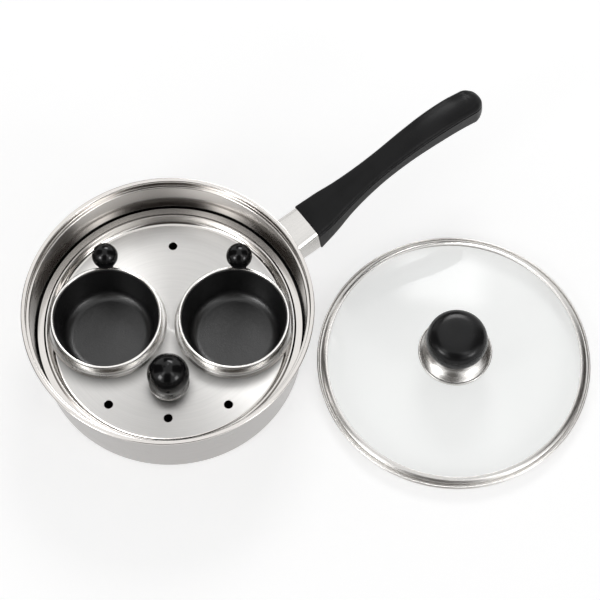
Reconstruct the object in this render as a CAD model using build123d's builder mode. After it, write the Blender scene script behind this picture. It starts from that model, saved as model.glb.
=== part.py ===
from build123d import *
import math
import os

os.makedirs("parts", exist_ok=True)

# A two-cup egg poaching pan: saucepan, lift-out plate, two cups and a glass lid lying beside the pan
# Lengths in millimetres, angles in degrees. The pan's base rests on z = 0 with its axis on Z

# General fits
overrun = 2.0
thread_gap = 0.05
pass_gap = 0.3
weld_gap = 0.05
edge_soft = 0.25
slot_w = 0.9
slot_depth = 0.8

# Cups, and the lip, flange and taper that follow their rim
cup_t = 0.7
cup_rim_r = 33.0
cup_rim_w = 1.7
cup_rim_drop = 1.8
cup_rim_soft = 0.6
cup_mouth_r = cup_rim_r - cup_rim_w
cup_taper = 4.7
cup_foot_r = cup_mouth_r - cup_taper
cup_depth = 25.0
cup_heel_soft = 6.5
cup_flange_inset = 0.1
cup_flange_r = cup_rim_r - cup_flange_inset
cup_flange_t = 0.8
cup_hole_gap = 0.2
cup_hole_r = cup_mouth_r - cup_hole_gap
coat_gap = 0.02
coat_t = 0.2
coat_drop = 1.2

# Raised collars round the plate's openings, and the places of the cups
collar_h = 1.5
collar_ledge = 1.4
collar_lean = 1.1
collar_top_r = cup_flange_r + collar_ledge
collar_foot_r = collar_top_r + collar_lean
collar_soft = 0.6
cup_clear = 2.2
cup_x = collar_foot_r + cup_clear
cup_y = 3.9

# Poaching plate: its step stands just outside the collars
plate_t = 0.7
plate_drop = 4.3
step_clear = 0.2
step_lean = 1.1
step_high_r = math.hypot(cup_x, cup_y) + collar_top_r + step_clear
step_low_r = step_high_r - step_lean
step_soft = 2.6
plate_ring_w = 5.8
plate_r = step_high_r + plate_ring_w
bead_h = 0.7
bead_w = 1.0
vent_r = 2.6
vent_back_inset = 16.2
vent_front_inset = 14.8
vent_side_inset = 11.9
vent_side_angle = 36.1
vent_back_y = step_low_r - vent_back_inset
vent_front_y = step_low_r - vent_front_inset
vent_side_x = (step_low_r - vent_side_inset) * math.sin(math.radians(vent_side_angle))
vent_side_y = (step_low_r - vent_side_inset) * math.cos(math.radians(vent_side_angle))

# Pan: its wall, ledge and lip stand outside the plate
sheet_t = 0.8
pan_h = 58.0
lip_t = 1.3
lip_w = 2.6
lip_soft = 0.5
wall_taper = 3.7
wall_low_gap = 0.5
wall_low_r = plate_r - wall_low_gap
ledge_r = wall_low_r + wall_taper - sheet_t
ledge_w = 1.9
ledge_drop = 4.5
ledge_z = pan_h - ledge_drop
ledge_soft = 0.6
seat_wall_r = ledge_r + ledge_w
lip_r = seat_wall_r + lip_w
base_h = 3.0
heel_soft = 5.0
rest_z = 31.0
rest_w = 0.9
rest_r = plate_r - rest_w
rest_t = 1.2
rest_drop = 3.2

# Layered base under the pan
cap_inset = 6.6
cap_r = wall_low_r - cap_inset
cap_t = 0.6
cap_soft = 0.5

# Heights of the plate and the cups
plate_floor_z = rest_z - plate_drop
cup_stand = 9.3
cup_rim_z = plate_floor_z + cup_stand
cup_floor_z = cup_rim_z - cup_depth

# Knob on each cup, standing on a tab welded across the rim
tab_t = 0.8
tab_r = 4.2
tab_overhang = 2.4
tab_reach = cup_rim_r + tab_overhang
left_tab_turn = 2.0
right_tab_turn = 4.8
tab_hole_r = 1.6
cup_ball_r = 7.7
cup_ball_h = 8.6
cup_neck_r = 3.4
cup_knob_bore_depth = 9.0
cup_knob_bore_r = 1.35
cup_screw_head_r = 2.0
cup_screw_head_t = 1.5
ball_join_angle = 35.0

# Knob on the plate
plate_knob_inset = 37.7
plate_knob_y = step_low_r - plate_knob_inset
plate_ball_r = 12.3
plate_ball_h = 8.0
plate_neck_r = 5.6
plate_knob_flat_r = 3.2
plate_knob_soft = 1.2
plate_knob_bore_depth = 10.0
plate_knob_bore_r = 1.95
plate_collar_r = 11.9
plate_collar_edge = 0.9
plate_collar_top_r = 6.0
plate_collar_h = 3.2
plate_collar_dip = 1.6
plate_washer_r = 5.0
plate_washer_t = 0.8
plate_screw_head_r = 3.6
plate_screw_head_t = 2.2

# Handle: direction and slope, then sizes along it from the pan's wall
handle_angle = 36.5
handle_slope = 7.0
handle_drop = 19.3
handle_z = pan_h - handle_drop
ferrule_w = 23.4
ferrule_h = 21.6
ferrule_wall_w = 24.6
ferrule_wall_h = 18.6
ferrule_tuck = 5.0
ferrule_t = 0.8
ferrule_soft = 3.2
ferrule_len = 21.2
foot_inset = 2.0
foot_low_inset = 2.2
foot_w = ferrule_w - 2 * foot_inset
foot_h = ferrule_wall_h - 2 * foot_low_inset
foot_t = 2.0
foot_soft = 2.0
tang_w = 11.0
tang_h = 5.0
screw_at = 14.0
tang_end = 6.8
tang_len = ferrule_len + screw_at + tang_end - foot_t
grip_len = 130.0
grip_lap = 4.0
grip_proud = 0.5
grip_half_w = ferrule_w / 2 + grip_proud
grip_top = ferrule_h / 2 + grip_proud
grip_bottom_proud = 1.1
grip_bottom = ferrule_h / 2 + grip_bottom_proud
grip_top_soft = 3.0
grip_low_soft = 3.6
grip_root_soft = 0.5
handle_screw_r = 2.0
handle_screw_head_r = 3.8
handle_screw_head_t = 1.9
handle_screw_cover = 1.2
handle_screw_seat = tang_h / 2 + handle_screw_cover

# Shares of the grip's length, half width, top and bottom along its outline
grip_station_shares = (0.0, 0.1, 0.2, 0.32, 0.44, 0.58, 0.71, 0.84, 0.93)
grip_width_shares = (1.0, 0.91, 0.757, 0.638, 0.606, 0.642, 0.69, 0.709, 0.69)
grip_top_shares = (1.0, 1.173, 1.318, 1.538, 1.719, 1.879, 1.884, 1.678, 1.37)
grip_bottom_shares = (-1.0, -0.628, -0.242, 0.044, 0.269, 0.388, 0.303, 0.04, -0.356)
tail_top_share = 0.87
tail_bottom_share = 0.1

# Lid lying rim down beside the pan: its skirt fits inside the ledge and its rim over it
lid_gap = 1.6
lid_y = -10.5
rim_gap = 0.6
skirt_gap = 1.3
lid_r = seat_wall_r - rim_gap
lid_x = lip_r + lid_r + lid_gap
skirt_r = ledge_r - skirt_gap
rim_t = 0.6
rim_flange_z = 4.0
rim_lip_h = 2.2
rim_lip_w = 1.5
rim_groove_h = 1.0
rim_fold_h = 0.5
rim_soft = 0.65
rim_pocket_w = 0.8
glass_r = skirt_r - rim_pocket_w
glass_t = 3.2
glass_z = 3.8
glass_rise = 11.0
glass_gap = 0.1
glass_hole_r = 4.2
glass_edge_soft = 0.6
rim_fold_w = 3.0
rim_fold_r = glass_r - rim_fold_w
rim_tuck_w = 1.8
rim_tuck_r = glass_r - rim_tuck_w

# Lid knob and the parts that hold it
stem_r = 5.9
stem_gap = 0.4
knob_r = 18.1
knob_h = 18.6
base_ring_over = 3.9
base_ring_r = knob_r + base_ring_over
base_ring_h = 2.8
base_ring_soft = 1.0
base_step_w = 1.0
base_step_h = 0.5
base_top_inset = 4.7
base_top_r = knob_r - base_top_inset
base_top_h = 9.4
base_dip = 1.3
base_skin_t = 0.9
base_bore_r = stem_r + stem_gap
knob_low_inset = 0.8
knob_low_r = base_top_r - knob_low_inset
knob_crown = 0.8
knob_low_soft = 0.8
knob_top_soft = 1.6
knob_flat_soft = 8.0
lid_bore_r = 2.05
lid_bore_depth = 16.0
gasket_r = 9.5
gasket_t = 1.2
lid_washer_r = 8.0
lid_washer_t = 1.0
lid_screw_head_r = 4.6
lid_screw_head_t = 2.4

# Shares of the knob's radius and height along its outline
knob_wide_share = 0.43
knob_swell_share = 0.928
knob_swell_rise_share = 0.183
knob_turn_share = 0.923
knob_turn_rise_share = 0.763
knob_top_share = 0.696
knob_flat_share = 0.442
knob_wide_h = knob_h * knob_wide_share
knob_swell_r = knob_r * knob_swell_share
knob_swell_h = knob_h * knob_swell_rise_share
knob_turn_r = knob_r * knob_turn_share
knob_turn_h = knob_h * knob_turn_rise_share
knob_top_r = knob_r * knob_top_share
knob_flat_r = knob_r * knob_flat_share


def wall_r(z):
    low = base_h
    high = ledge_z - sheet_t
    top_r = ledge_r + sheet_t
    return wall_low_r + (top_r - wall_low_r) * (z - low) / (high - low)


def cup_r(z):
    return cup_foot_r + (cup_mouth_r - cup_foot_r) * (z - cup_floor_z) / (cup_rim_z - cup_floor_z)


def dome_z(r):
    arc_r = (glass_r**2 + glass_rise**2) / (2 * glass_rise)
    return glass_z + glass_t + glass_rise - arc_r + math.sqrt(arc_r**2 - r**2)


def round_corner(sketch, x, y, radius):
    fillet(sketch.vertices().sort_by_distance((x, y))[0], radius=radius)


def upright(x, y, z):
    return Plane(origin=(x, y, z), x_dir=(1, 0, 0), z_dir=(0, -1, 0))


# Pan shell: floor, tapering wall, lid ledge, flat rolled lip and the inner rest for the plate
lip_under = pan_h - lip_t
ledge_under = ledge_z - sheet_t
floor_top = base_h + sheet_t
rest_low = rest_z - rest_drop
with BuildPart() as pan_body:
    with BuildSketch(Plane.XZ) as pan_profile:
        with BuildLine():
            Polyline(
                (0, base_h),
                (wall_low_r, base_h),
                (ledge_r + sheet_t, ledge_under),
                (seat_wall_r + sheet_t, ledge_under),
                (seat_wall_r + sheet_t, lip_under),
                (lip_r, lip_under),
                (lip_r, pan_h),
                (seat_wall_r, pan_h),
                (seat_wall_r, ledge_z),
                (ledge_r, ledge_z),
                (wall_r(rest_z) - sheet_t, rest_z),
                (rest_r, rest_z),
                (rest_r, rest_z - rest_t),
                (wall_r(rest_low) - sheet_t, rest_low),
                (wall_r(floor_top) - sheet_t, floor_top),
                (0, floor_top),
                close=True,
            )
        make_face()
        round_corner(pan_profile, wall_low_r, base_h, heel_soft)
        round_corner(pan_profile, wall_r(floor_top) - sheet_t, floor_top, heel_soft - sheet_t)
        round_corner(pan_profile, lip_r, pan_h, lip_soft)
        round_corner(pan_profile, lip_r, lip_under, lip_soft)
        round_corner(pan_profile, seat_wall_r, pan_h, lip_soft)
        round_corner(pan_profile, ledge_r, ledge_z, ledge_soft)
        round_corner(pan_profile, seat_wall_r + sheet_t, ledge_under, ledge_soft)
        round_corner(pan_profile, rest_r, rest_z, edge_soft)
    revolve(axis=Axis.Z)
pan_body.part.label = "pan_body"
export_step(pan_body.part, "parts/pan_body.step")

# Steel cap under the base, turned up round the core
with BuildPart() as base_cap:
    with BuildSketch(Plane.XZ) as cap_profile:
        with BuildLine():
            Polyline(
                (0, 0),
                (cap_r, 0),
                (cap_r, base_h),
                (cap_r - cap_t, base_h),
                (cap_r - cap_t, cap_t),
                (0, cap_t),
                close=True,
            )
        make_face()
        round_corner(cap_profile, cap_r, 0, cap_soft)
    revolve(axis=Axis.Z)
base_cap.part.label = "base_cap"
export_step(base_cap.part, "parts/base_cap.step")

# Heat-spreading disc between the pan floor and the cap
with BuildPart() as base_core:
    with BuildSketch(Plane.XY.offset(cap_t)):
        Circle(cap_r - cap_t - weld_gap)
    extrude(amount=base_h - cap_t)
base_core.part.label = "base_core"
export_step(base_core.part, "parts/base_core.step")

# Frame of the handle: local X runs out along it, local Z is its upper side
slope_cos = math.cos(math.radians(handle_slope))
slope_sin = math.sin(math.radians(handle_slope))
turn_cos = math.cos(math.radians(handle_angle))
turn_sin = math.sin(math.radians(handle_angle))
root_r = wall_r(handle_z)
handle_top = Plane(
    origin=(root_r * turn_cos, root_r * turn_sin, handle_z),
    x_dir=(turn_cos * slope_cos, turn_sin * slope_cos, slope_sin),
    z_dir=(-turn_cos * slope_sin, -turn_sin * slope_sin, slope_cos),
)
handle_end = Plane(origin=handle_top.origin, x_dir=handle_top.y_dir, z_dir=handle_top.x_dir)
handle_side = Plane(origin=handle_top.origin, x_dir=handle_top.x_dir, z_dir=-handle_top.y_dir)

# Bracket welded to the wall: a foot shaped to the wall and a tang inside the grip
screw_x = ferrule_len + screw_at
with BuildPart() as handle_bracket:
    with BuildSketch(handle_end.offset(-foot_w)):
        with Locations((0, (ferrule_h - ferrule_wall_h) / 2)):
            RectangleRounded(foot_w, foot_h, foot_soft)
    extrude(amount=foot_w + foot_t)
    with BuildSketch(handle_end.offset(foot_t)):
        Rectangle(tang_w, tang_h)
    extrude(amount=tang_len)
    fillet(handle_bracket.edges().filter_by(Axis(handle_top.origin, handle_top.y_dir)).sort_by(
        Axis(handle_top.origin, handle_top.x_dir))[-2:], radius=edge_soft)
    with BuildSketch(handle_top.offset(-tang_h)) as bracket_bore:
        with Locations((screw_x, 0)):
            Circle(handle_screw_r + thread_gap)
    extrude(amount=2 * tang_h, mode=Mode.SUBTRACT)
    with BuildSketch(Plane.XZ):
        with BuildLine():
            Polyline(
                (0, 0),
                (wall_r(0) + weld_gap, 0),
                (wall_r(pan_h) + weld_gap, pan_h),
                (0, pan_h),
                close=True,
            )
        make_face()
    revolve(axis=Axis.Z, mode=Mode.SUBTRACT)
handle_bracket.part.label = "handle_bracket"
export_step(handle_bracket.part, "parts/handle_bracket.step")

# Ferrule: a flat-sided steel sleeve, narrower and deeper towards the grip


def sleeve_size(x):
    share = x / ferrule_len
    wide = ferrule_wall_w + (ferrule_w - ferrule_wall_w) * share
    tall = ferrule_wall_h + (ferrule_h - ferrule_wall_h) * share
    return wide, tall, (ferrule_h - tall) / 2


with BuildPart() as handle_ferrule:
    for inset, mode in ((0, Mode.ADD), (ferrule_t, Mode.SUBTRACT)):
        for x in (-ferrule_tuck, ferrule_len):
            wide, tall, lift = sleeve_size(x)
            with BuildSketch(handle_end.offset(x)):
                with Locations((0, lift)):
                    RectangleRounded(wide - 2 * inset, tall - 2 * inset, ferrule_soft - inset)
        loft(ruled=True, mode=mode)
    with BuildSketch(Plane.XZ):
        with BuildLine():
            Polyline(
                (0, 0),
                (wall_r(0) + pass_gap, 0),
                (wall_r(pan_h) + pass_gap, pan_h),
                (0, pan_h),
                close=True,
            )
        make_face()
    revolve(axis=Axis.Z, mode=Mode.SUBTRACT)
handle_ferrule.part.label = "handle_ferrule"
export_step(handle_ferrule.part, "parts/handle_ferrule.step")

# What the sloped edge at the grip's root takes away
with BuildPart() as root_trim:
    with BuildSketch(handle_end.offset(ferrule_len - overrun)):
        Rectangle(4 * grip_half_w, 4 * grip_half_w)
    extrude(amount=overrun + grip_root_soft)
    with BuildSketch(handle_end.offset(ferrule_len - overrun)):
        with Locations((0, (grip_top - grip_bottom) / 2)):
            RectangleRounded(
                2 * (grip_half_w - grip_root_soft - overrun),
                grip_top + grip_bottom - 2 * (grip_root_soft + overrun),
                grip_top_soft,
            )
    extrude(amount=overrun + grip_root_soft, taper=-45, mode=Mode.SUBTRACT)

# Grip: waisted seen from above and arched seen from the side, with a spigot inside the ferrule
plan_far = []
plan_near = []
side_top = []
side_low = []
for at, wide, high, low in zip(
    grip_station_shares, grip_width_shares, grip_top_shares, grip_bottom_shares
):
    x = ferrule_len + at * grip_len
    plan_far.append((x, wide * grip_half_w))
    plan_near.append((x, -wide * grip_half_w))
    side_top.append((x, high * grip_top))
    side_low.append((x, low * grip_bottom))
tail_x = ferrule_len + grip_len
tail_mid = (tail_top_share * grip_top + tail_bottom_share * grip_bottom) / 2
lap_w, lap_h, lap_lift = sleeve_size(ferrule_len - grip_lap)
spigot_w = ferrule_w - 2 * ferrule_t - pass_gap
spigot_h = lap_h - 2 * ferrule_t - pass_gap
with BuildPart() as handle_grip:
    with BuildSketch(handle_top.offset(-grip_len)):
        with BuildLine():
            far = Spline(*plan_far)
            near = Spline(*plan_near)
            tail_far = Spline(
                far @ 1,
                (tail_x, 0),
                near @ 1,
                tangents=(far % 1, (near % 1) * -1),
            )
            Line(near @ 0, far @ 0)
        make_face()
    extrude(amount=2 * grip_len)
    with BuildSketch(handle_side.offset(-grip_half_w - overrun)):
        with BuildLine():
            top = Spline(*side_top)
            low = Spline(*side_low)
            Spline(
                top @ 1,
                (tail_x + overrun, tail_mid),
                low @ 1,
                tangents=(top % 1, (low % 1) * -1),
            )
            Line(low @ 0, top @ 0)
        make_face()
    extrude(amount=2 * (grip_half_w + overrun), mode=Mode.INTERSECT)
    rise = Axis(handle_top.origin, handle_top.z_dir)
    fillet(handle_grip.edges().sort_by(SortBy.LENGTH)[-2:].sort_by(rise)[-1], radius=grip_top_soft)
    fillet(handle_grip.edges().sort_by(SortBy.LENGTH)[-4:].sort_by(rise)[0], radius=grip_low_soft)
    add(root_trim.part, mode=Mode.SUBTRACT)
    with BuildSketch(handle_end.offset(ferrule_len - grip_lap)):
        with Locations((0, lap_lift)):
            RectangleRounded(spigot_w, spigot_h, ferrule_soft - ferrule_t)
    extrude(amount=grip_lap + overrun)
    with BuildSketch(handle_end.offset(ferrule_len - grip_lap - overrun)):
        Rectangle(tang_w + pass_gap, tang_h + pass_gap)
    extrude(amount=overrun + grip_lap - ferrule_len + foot_t + tang_len + pass_gap, mode=Mode.SUBTRACT)
    with BuildSketch(handle_top.offset(-grip_len)):
        with Locations((screw_x, 0)):
            Circle(handle_screw_r + pass_gap)
    extrude(amount=grip_len, mode=Mode.SUBTRACT)
    with BuildSketch(handle_top.offset(-grip_len)):
        with Locations((screw_x, 0)):
            Circle(handle_screw_head_r + pass_gap)
    extrude(amount=grip_len - handle_screw_seat, mode=Mode.SUBTRACT)
handle_grip.part.label = "handle_grip"
export_step(handle_grip.part, "parts/handle_grip.step")

# Screw from the underside of the grip into the tang
with BuildPart() as handle_screw:
    with BuildSketch(handle_top.offset(-handle_screw_seat - handle_screw_head_t)):
        with Locations((screw_x, 0)):
            Circle(handle_screw_head_r)
    extrude(amount=handle_screw_head_t)
    with BuildSketch(handle_top.offset(-handle_screw_seat - handle_screw_head_t)):
        with Locations((screw_x, 0)):
            Rectangle(slot_w, 2 * handle_screw_head_r)
    extrude(amount=slot_depth, mode=Mode.SUBTRACT)
    with BuildSketch(handle_top.offset(-handle_screw_seat)):
        with Locations((screw_x, 0)):
            Circle(handle_screw_r)
    extrude(amount=handle_screw_seat + tang_h / 2)
handle_screw.part.label = "handle_screw"
export_step(handle_screw.part, "parts/handle_screw.step")

# Poaching plate: flat floor with cup openings and vents, a raised step and a flat outer ring
flange_z = rest_z + plate_t
with BuildPart() as poacher_plate:
    with BuildSketch(Plane.XZ) as plate_profile:
        with BuildLine():
            Polyline(
                (0, plate_floor_z - plate_t),
                (step_low_r + plate_t, plate_floor_z - plate_t),
                (step_high_r, rest_z),
                (plate_r, rest_z),
                (plate_r, flange_z),
                (step_high_r + 2 * bead_w, flange_z),
                (step_high_r + bead_w, flange_z + bead_h),
                (step_high_r, flange_z + bead_h),
                (step_low_r, plate_floor_z),
                (0, plate_floor_z),
                close=True,
            )
        make_face()
        round_corner(plate_profile, step_low_r + plate_t, plate_floor_z - plate_t, step_soft + plate_t)
        round_corner(plate_profile, step_low_r, plate_floor_z, step_soft)
        round_corner(plate_profile, step_high_r, flange_z + bead_h, bead_h / 2)
        round_corner(plate_profile, step_high_r + bead_w, flange_z + bead_h, bead_h / 2)
        round_corner(plate_profile, plate_r, flange_z, edge_soft)
    revolve(axis=Axis.Z)
    for side in (-1, 1):
        with BuildSketch(upright(side * cup_x, cup_y, plate_floor_z)) as collar_profile:
            with BuildLine():
                Polyline(
                    (0, -plate_t),
                    (collar_foot_r, -plate_t),
                    (collar_foot_r, 0),
                    (collar_top_r, collar_h),
                    (0, collar_h),
                    close=True,
                )
            make_face()
            round_corner(collar_profile, collar_top_r, collar_h, collar_soft)
        revolve(axis=Axis((side * cup_x, cup_y, 0), (0, 0, 1)))
    with BuildSketch(Plane.XY.offset(plate_floor_z - plate_t - overrun)):
        with Locations((-cup_x, cup_y), (cup_x, cup_y)):
            Circle(cup_hole_r)
        with Locations(
            (0, vent_back_y), (0, -vent_front_y), (-vent_side_x, -vent_side_y), (vent_side_x, -vent_side_y)
        ):
            Circle(vent_r)
        with Locations((0, -plate_knob_y)):
            Circle(plate_knob_bore_r + pass_gap)
    extrude(amount=2 * overrun + plate_t + collar_h, mode=Mode.SUBTRACT)
poacher_plate.part.label = "poacher_plate"
export_step(poacher_plate.part, "parts/poacher_plate.step")

# Dished steel collar under the plate's lifting knob
with BuildPart() as plate_knob_collar:
    with BuildSketch(upright(0, -plate_knob_y, plate_floor_z)):
        with BuildLine():
            Polyline(
                (plate_collar_top_r, plate_collar_h),
                (plate_knob_bore_r + pass_gap, plate_collar_h),
                (plate_knob_bore_r + pass_gap, 0),
                (plate_collar_r, 0),
                (plate_collar_r, plate_collar_edge),
            )
            ThreePointArc(
                (plate_collar_r, plate_collar_edge),
                ((plate_collar_r + plate_collar_top_r) / 2, plate_collar_dip),
                (plate_collar_top_r, plate_collar_h),
            )
        make_face()
    revolve(axis=Axis((0, -plate_knob_y, 0), (0, 0, 1)))
plate_knob_collar.part.label = "plate_knob_collar"
export_step(plate_knob_collar.part, "parts/plate_knob_collar.step")

# Plate knob: a ball on a short neck, with its crown ground flat
join_cos = math.cos(math.radians(ball_join_angle))
join_sin = math.sin(math.radians(ball_join_angle))
plate_knob_foot = plate_floor_z + plate_collar_h
plate_crown_h = plate_ball_h + math.sqrt(plate_ball_r**2 - plate_knob_flat_r**2)
with BuildPart() as plate_knob:
    with BuildSketch(upright(0, -plate_knob_y, plate_knob_foot)):
        with BuildLine():
            neck = Polyline(
                (0, 0),
                (plate_neck_r, 0),
                (plate_ball_r * join_cos, plate_ball_h - plate_ball_r * join_sin),
            )
            ThreePointArc(
                neck @ 1,
                (plate_ball_r, plate_ball_h),
                (plate_knob_flat_r, plate_crown_h),
            )
            Polyline((plate_knob_flat_r, plate_crown_h), (0, plate_crown_h), (0, 0))
        make_face()
    revolve(axis=Axis((0, -plate_knob_y, 0), (0, 0, 1)))
    fillet(plate_knob.faces().sort_by(Axis.Z)[-1].edges(), radius=plate_knob_soft)
    with BuildSketch(upright(0, -plate_knob_y, plate_knob_foot)):
        with BuildLine():
            Polyline(
                (0, -overrun),
                (plate_knob_bore_r, -overrun),
                (plate_knob_bore_r, plate_knob_bore_depth),
                (0, plate_knob_bore_depth),
                close=True,
            )
        make_face()
    revolve(axis=Axis((0, -plate_knob_y, 0), (0, 0, 1)), mode=Mode.SUBTRACT)
plate_knob.part.label = "plate_knob"
export_step(plate_knob.part, "parts/plate_knob.step")

# Washer and screw under the plate
plate_under = plate_floor_z - plate_t
with BuildPart() as plate_knob_washer:
    with BuildSketch(Plane.XY.offset(plate_under - plate_washer_t)):
        with Locations((0, -plate_knob_y)):
            Circle(plate_washer_r)
            Circle(plate_knob_bore_r + pass_gap, mode=Mode.SUBTRACT)
    extrude(amount=plate_washer_t)
plate_knob_washer.part.label = "plate_knob_washer"
export_step(plate_knob_washer.part, "parts/plate_knob_washer.step")

with BuildPart() as plate_knob_screw:
    with BuildSketch(Plane.XY.offset(plate_under - plate_washer_t - plate_screw_head_t)):
        with Locations((0, -plate_knob_y)):
            Circle(plate_screw_head_r)
    extrude(amount=plate_screw_head_t)
    fillet(plate_knob_screw.faces().sort_by(Axis.Z)[0].edges(), radius=plate_screw_head_t / 2)
    with BuildSketch(Plane.XY.offset(plate_under - plate_washer_t - plate_screw_head_t)):
        with Locations((0, -plate_knob_y)):
            Rectangle(2 * plate_screw_head_r, slot_w)
            Rectangle(slot_w, 2 * plate_screw_head_r)
            Circle(plate_screw_head_r / 2, mode=Mode.INTERSECT)
    extrude(amount=slot_depth, mode=Mode.SUBTRACT)
    with BuildSketch(Plane.XY.offset(plate_under - plate_washer_t)):
        with Locations((0, -plate_knob_y)):
            Circle(plate_knob_bore_r - thread_gap)
    extrude(amount=plate_washer_t + plate_t + plate_collar_h + plate_knob_bore_depth - pass_gap)
plate_knob_screw.part.label = "plate_knob_screw"
export_step(plate_knob_screw.part, "parts/plate_knob_screw.step")

# The two cups, each with its dark lining, tab, ball knob and screw
cup_rest_z = plate_floor_z + collar_h
flange_top = cup_rest_z + cup_flange_t
rim_low = cup_rim_z - cup_rim_drop
cup_inner_floor = cup_floor_z
cup_under = cup_floor_z - cup_t
coat_low = cup_inner_floor + coat_gap
coat_high = cup_inner_floor + coat_gap + coat_t
coat_end = cup_rim_z - coat_drop
coat_out = cup_r(coat_end) - coat_gap
tab_low = cup_rim_z + weld_gap
tab_top = tab_low + tab_t
for side, name, tab_turn in ((-1, "left", left_tab_turn), (1, "right", right_tab_turn)):
    middle_x = side * cup_x
    cup_axis = Axis((middle_x, cup_y, 0), (0, 0, 1))
    knob_x = middle_x + side * tab_reach * math.sin(math.radians(tab_turn))
    knob_y = cup_y + tab_reach * math.cos(math.radians(tab_turn))
    knob_axis = Axis((knob_x, knob_y, 0), (0, 0, 1))

    with BuildPart() as cup_shell:
        with BuildSketch(upright(middle_x, cup_y, 0)) as cup_profile:
            with BuildLine():
                Polyline(
                    (0, cup_under),
                    (cup_r(cup_under) + cup_t, cup_under),
                    (cup_r(cup_rest_z) + cup_t, cup_rest_z),
                    (cup_flange_r, cup_rest_z),
                    (cup_flange_r, flange_top),
                    (cup_r(flange_top) + cup_t, flange_top),
                    (cup_r(rim_low) + cup_t, rim_low),
                    (cup_rim_r, rim_low),
                    (cup_rim_r, cup_rim_z),
                    (cup_mouth_r, cup_rim_z),
                    (cup_foot_r, cup_inner_floor),
                    (0, cup_inner_floor),
                    close=True,
                )
            make_face()
            round_corner(cup_profile, cup_r(cup_under) + cup_t, cup_under, cup_heel_soft + cup_t)
            round_corner(cup_profile, cup_foot_r, cup_inner_floor, cup_heel_soft)
            round_corner(cup_profile, cup_rim_r, cup_rim_z, cup_rim_soft)
            round_corner(cup_profile, cup_rim_r, rim_low, cup_rim_soft)
            round_corner(cup_profile, cup_mouth_r, cup_rim_z, cup_rim_soft)
            round_corner(cup_profile, cup_flange_r, flange_top, edge_soft)
        revolve(axis=cup_axis)
    cup_shell.part.label = f"cup_{name}_shell"
    export_step(cup_shell.part, f"parts/cup_{name}_shell.step")

    with BuildPart() as cup_lining:
        with BuildSketch(upright(middle_x, cup_y, 0)) as lining_profile:
            with BuildLine():
                Polyline(
                    (0, coat_low),
                    (cup_foot_r - coat_gap, coat_low),
                    (coat_out, coat_end),
                    (coat_out - coat_t, coat_end),
                    (cup_foot_r - coat_gap - coat_t, coat_high),
                    (0, coat_high),
                    close=True,
                )
            make_face()
            round_corner(lining_profile, cup_foot_r - coat_gap, coat_low, cup_heel_soft - coat_gap)
            round_corner(
                lining_profile, cup_foot_r - coat_gap - coat_t, coat_high, cup_heel_soft - coat_gap - coat_t
            )
        revolve(axis=cup_axis)
    cup_lining.part.label = f"cup_{name}_lining"
    export_step(cup_lining.part, f"parts/cup_{name}_lining.step")

    with BuildPart() as cup_tab:
        with BuildSketch(Plane(origin=(middle_x, cup_y, tab_low), x_dir=(knob_x - middle_x, knob_y - cup_y, 0))):
            with Locations((tab_reach / 2, 0)):
                Rectangle(tab_reach, 2 * tab_r)
            with Locations((tab_reach, 0)):
                Circle(tab_r)
                Circle(tab_hole_r, mode=Mode.SUBTRACT)
            Circle(cup_mouth_r + cup_rim_soft / 2, mode=Mode.SUBTRACT)
        extrude(amount=tab_t)
    cup_tab.part.label = f"cup_{name}_tab"
    export_step(cup_tab.part, f"parts/cup_{name}_tab.step")

    with BuildPart() as cup_knob:
        with BuildSketch(upright(knob_x, knob_y, tab_top)):
            with BuildLine():
                neck = Polyline(
                    (0, 0),
                    (cup_neck_r, 0),
                    (cup_ball_r * join_cos, cup_ball_h - cup_ball_r * join_sin),
                )
                ThreePointArc(
                    neck @ 1,
                    (cup_ball_r, cup_ball_h),
                    (0, cup_ball_h + cup_ball_r),
                )
                Line((0, cup_ball_h + cup_ball_r), (0, 0))
            make_face()
        revolve(axis=knob_axis)
        with BuildSketch(Plane.XY.offset(tab_top - overrun)):
            with Locations((knob_x, knob_y)):
                Circle(cup_knob_bore_r)
        extrude(amount=overrun + cup_knob_bore_depth, mode=Mode.SUBTRACT)
    cup_knob.part.label = f"cup_{name}_knob"
    export_step(cup_knob.part, f"parts/cup_{name}_knob.step")

    with BuildPart() as cup_screw:
        with BuildSketch(Plane.XY.offset(tab_low - cup_screw_head_t)):
            with Locations((knob_x, knob_y)):
                Circle(cup_screw_head_r)
        extrude(amount=cup_screw_head_t)
        fillet(cup_screw.faces().sort_by(Axis.Z)[0].edges(), radius=cup_screw_head_t / 2)
        with BuildSketch(Plane.XY.offset(tab_low)):
            with Locations((knob_x, knob_y)):
                Circle(cup_knob_bore_r - thread_gap)
        extrude(amount=tab_t + cup_knob_bore_depth - pass_gap)
    cup_screw.part.label = f"cup_{name}_screw"
    export_step(cup_screw.part, f"parts/cup_{name}_screw.step")

# Glass dome of the lid
lid_axis = Axis((lid_x, lid_y, 0), (0, 0, 1))
glass_top = glass_z + glass_t + glass_rise
glass_under = glass_z + glass_rise
with BuildPart() as lid_glass:
    with BuildSketch(upright(lid_x, lid_y, 0)) as glass_profile:
        with BuildLine():
            Polyline(
                (0, glass_under),
                (0, glass_top),
            )
            ThreePointArc((0, glass_top), (glass_r / 2, dome_z(glass_r / 2)), (glass_r, glass_z + glass_t))
            Line((glass_r, glass_z + glass_t), (glass_r, glass_z))
            ThreePointArc((glass_r, glass_z), (glass_r / 2, dome_z(glass_r / 2) - glass_t), (0, glass_under))
        make_face()
        round_corner(glass_profile, glass_r, glass_z, glass_edge_soft)
    revolve(axis=lid_axis)
    with BuildSketch(Plane.XY.offset(glass_z)):
        with Locations((lid_x, lid_y)):
            Circle(glass_hole_r)
    extrude(amount=glass_t + glass_rise, mode=Mode.SUBTRACT)
lid_glass.part.label = "lid_glass"
export_step(lid_glass.part, "parts/lid_glass.step")

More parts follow.
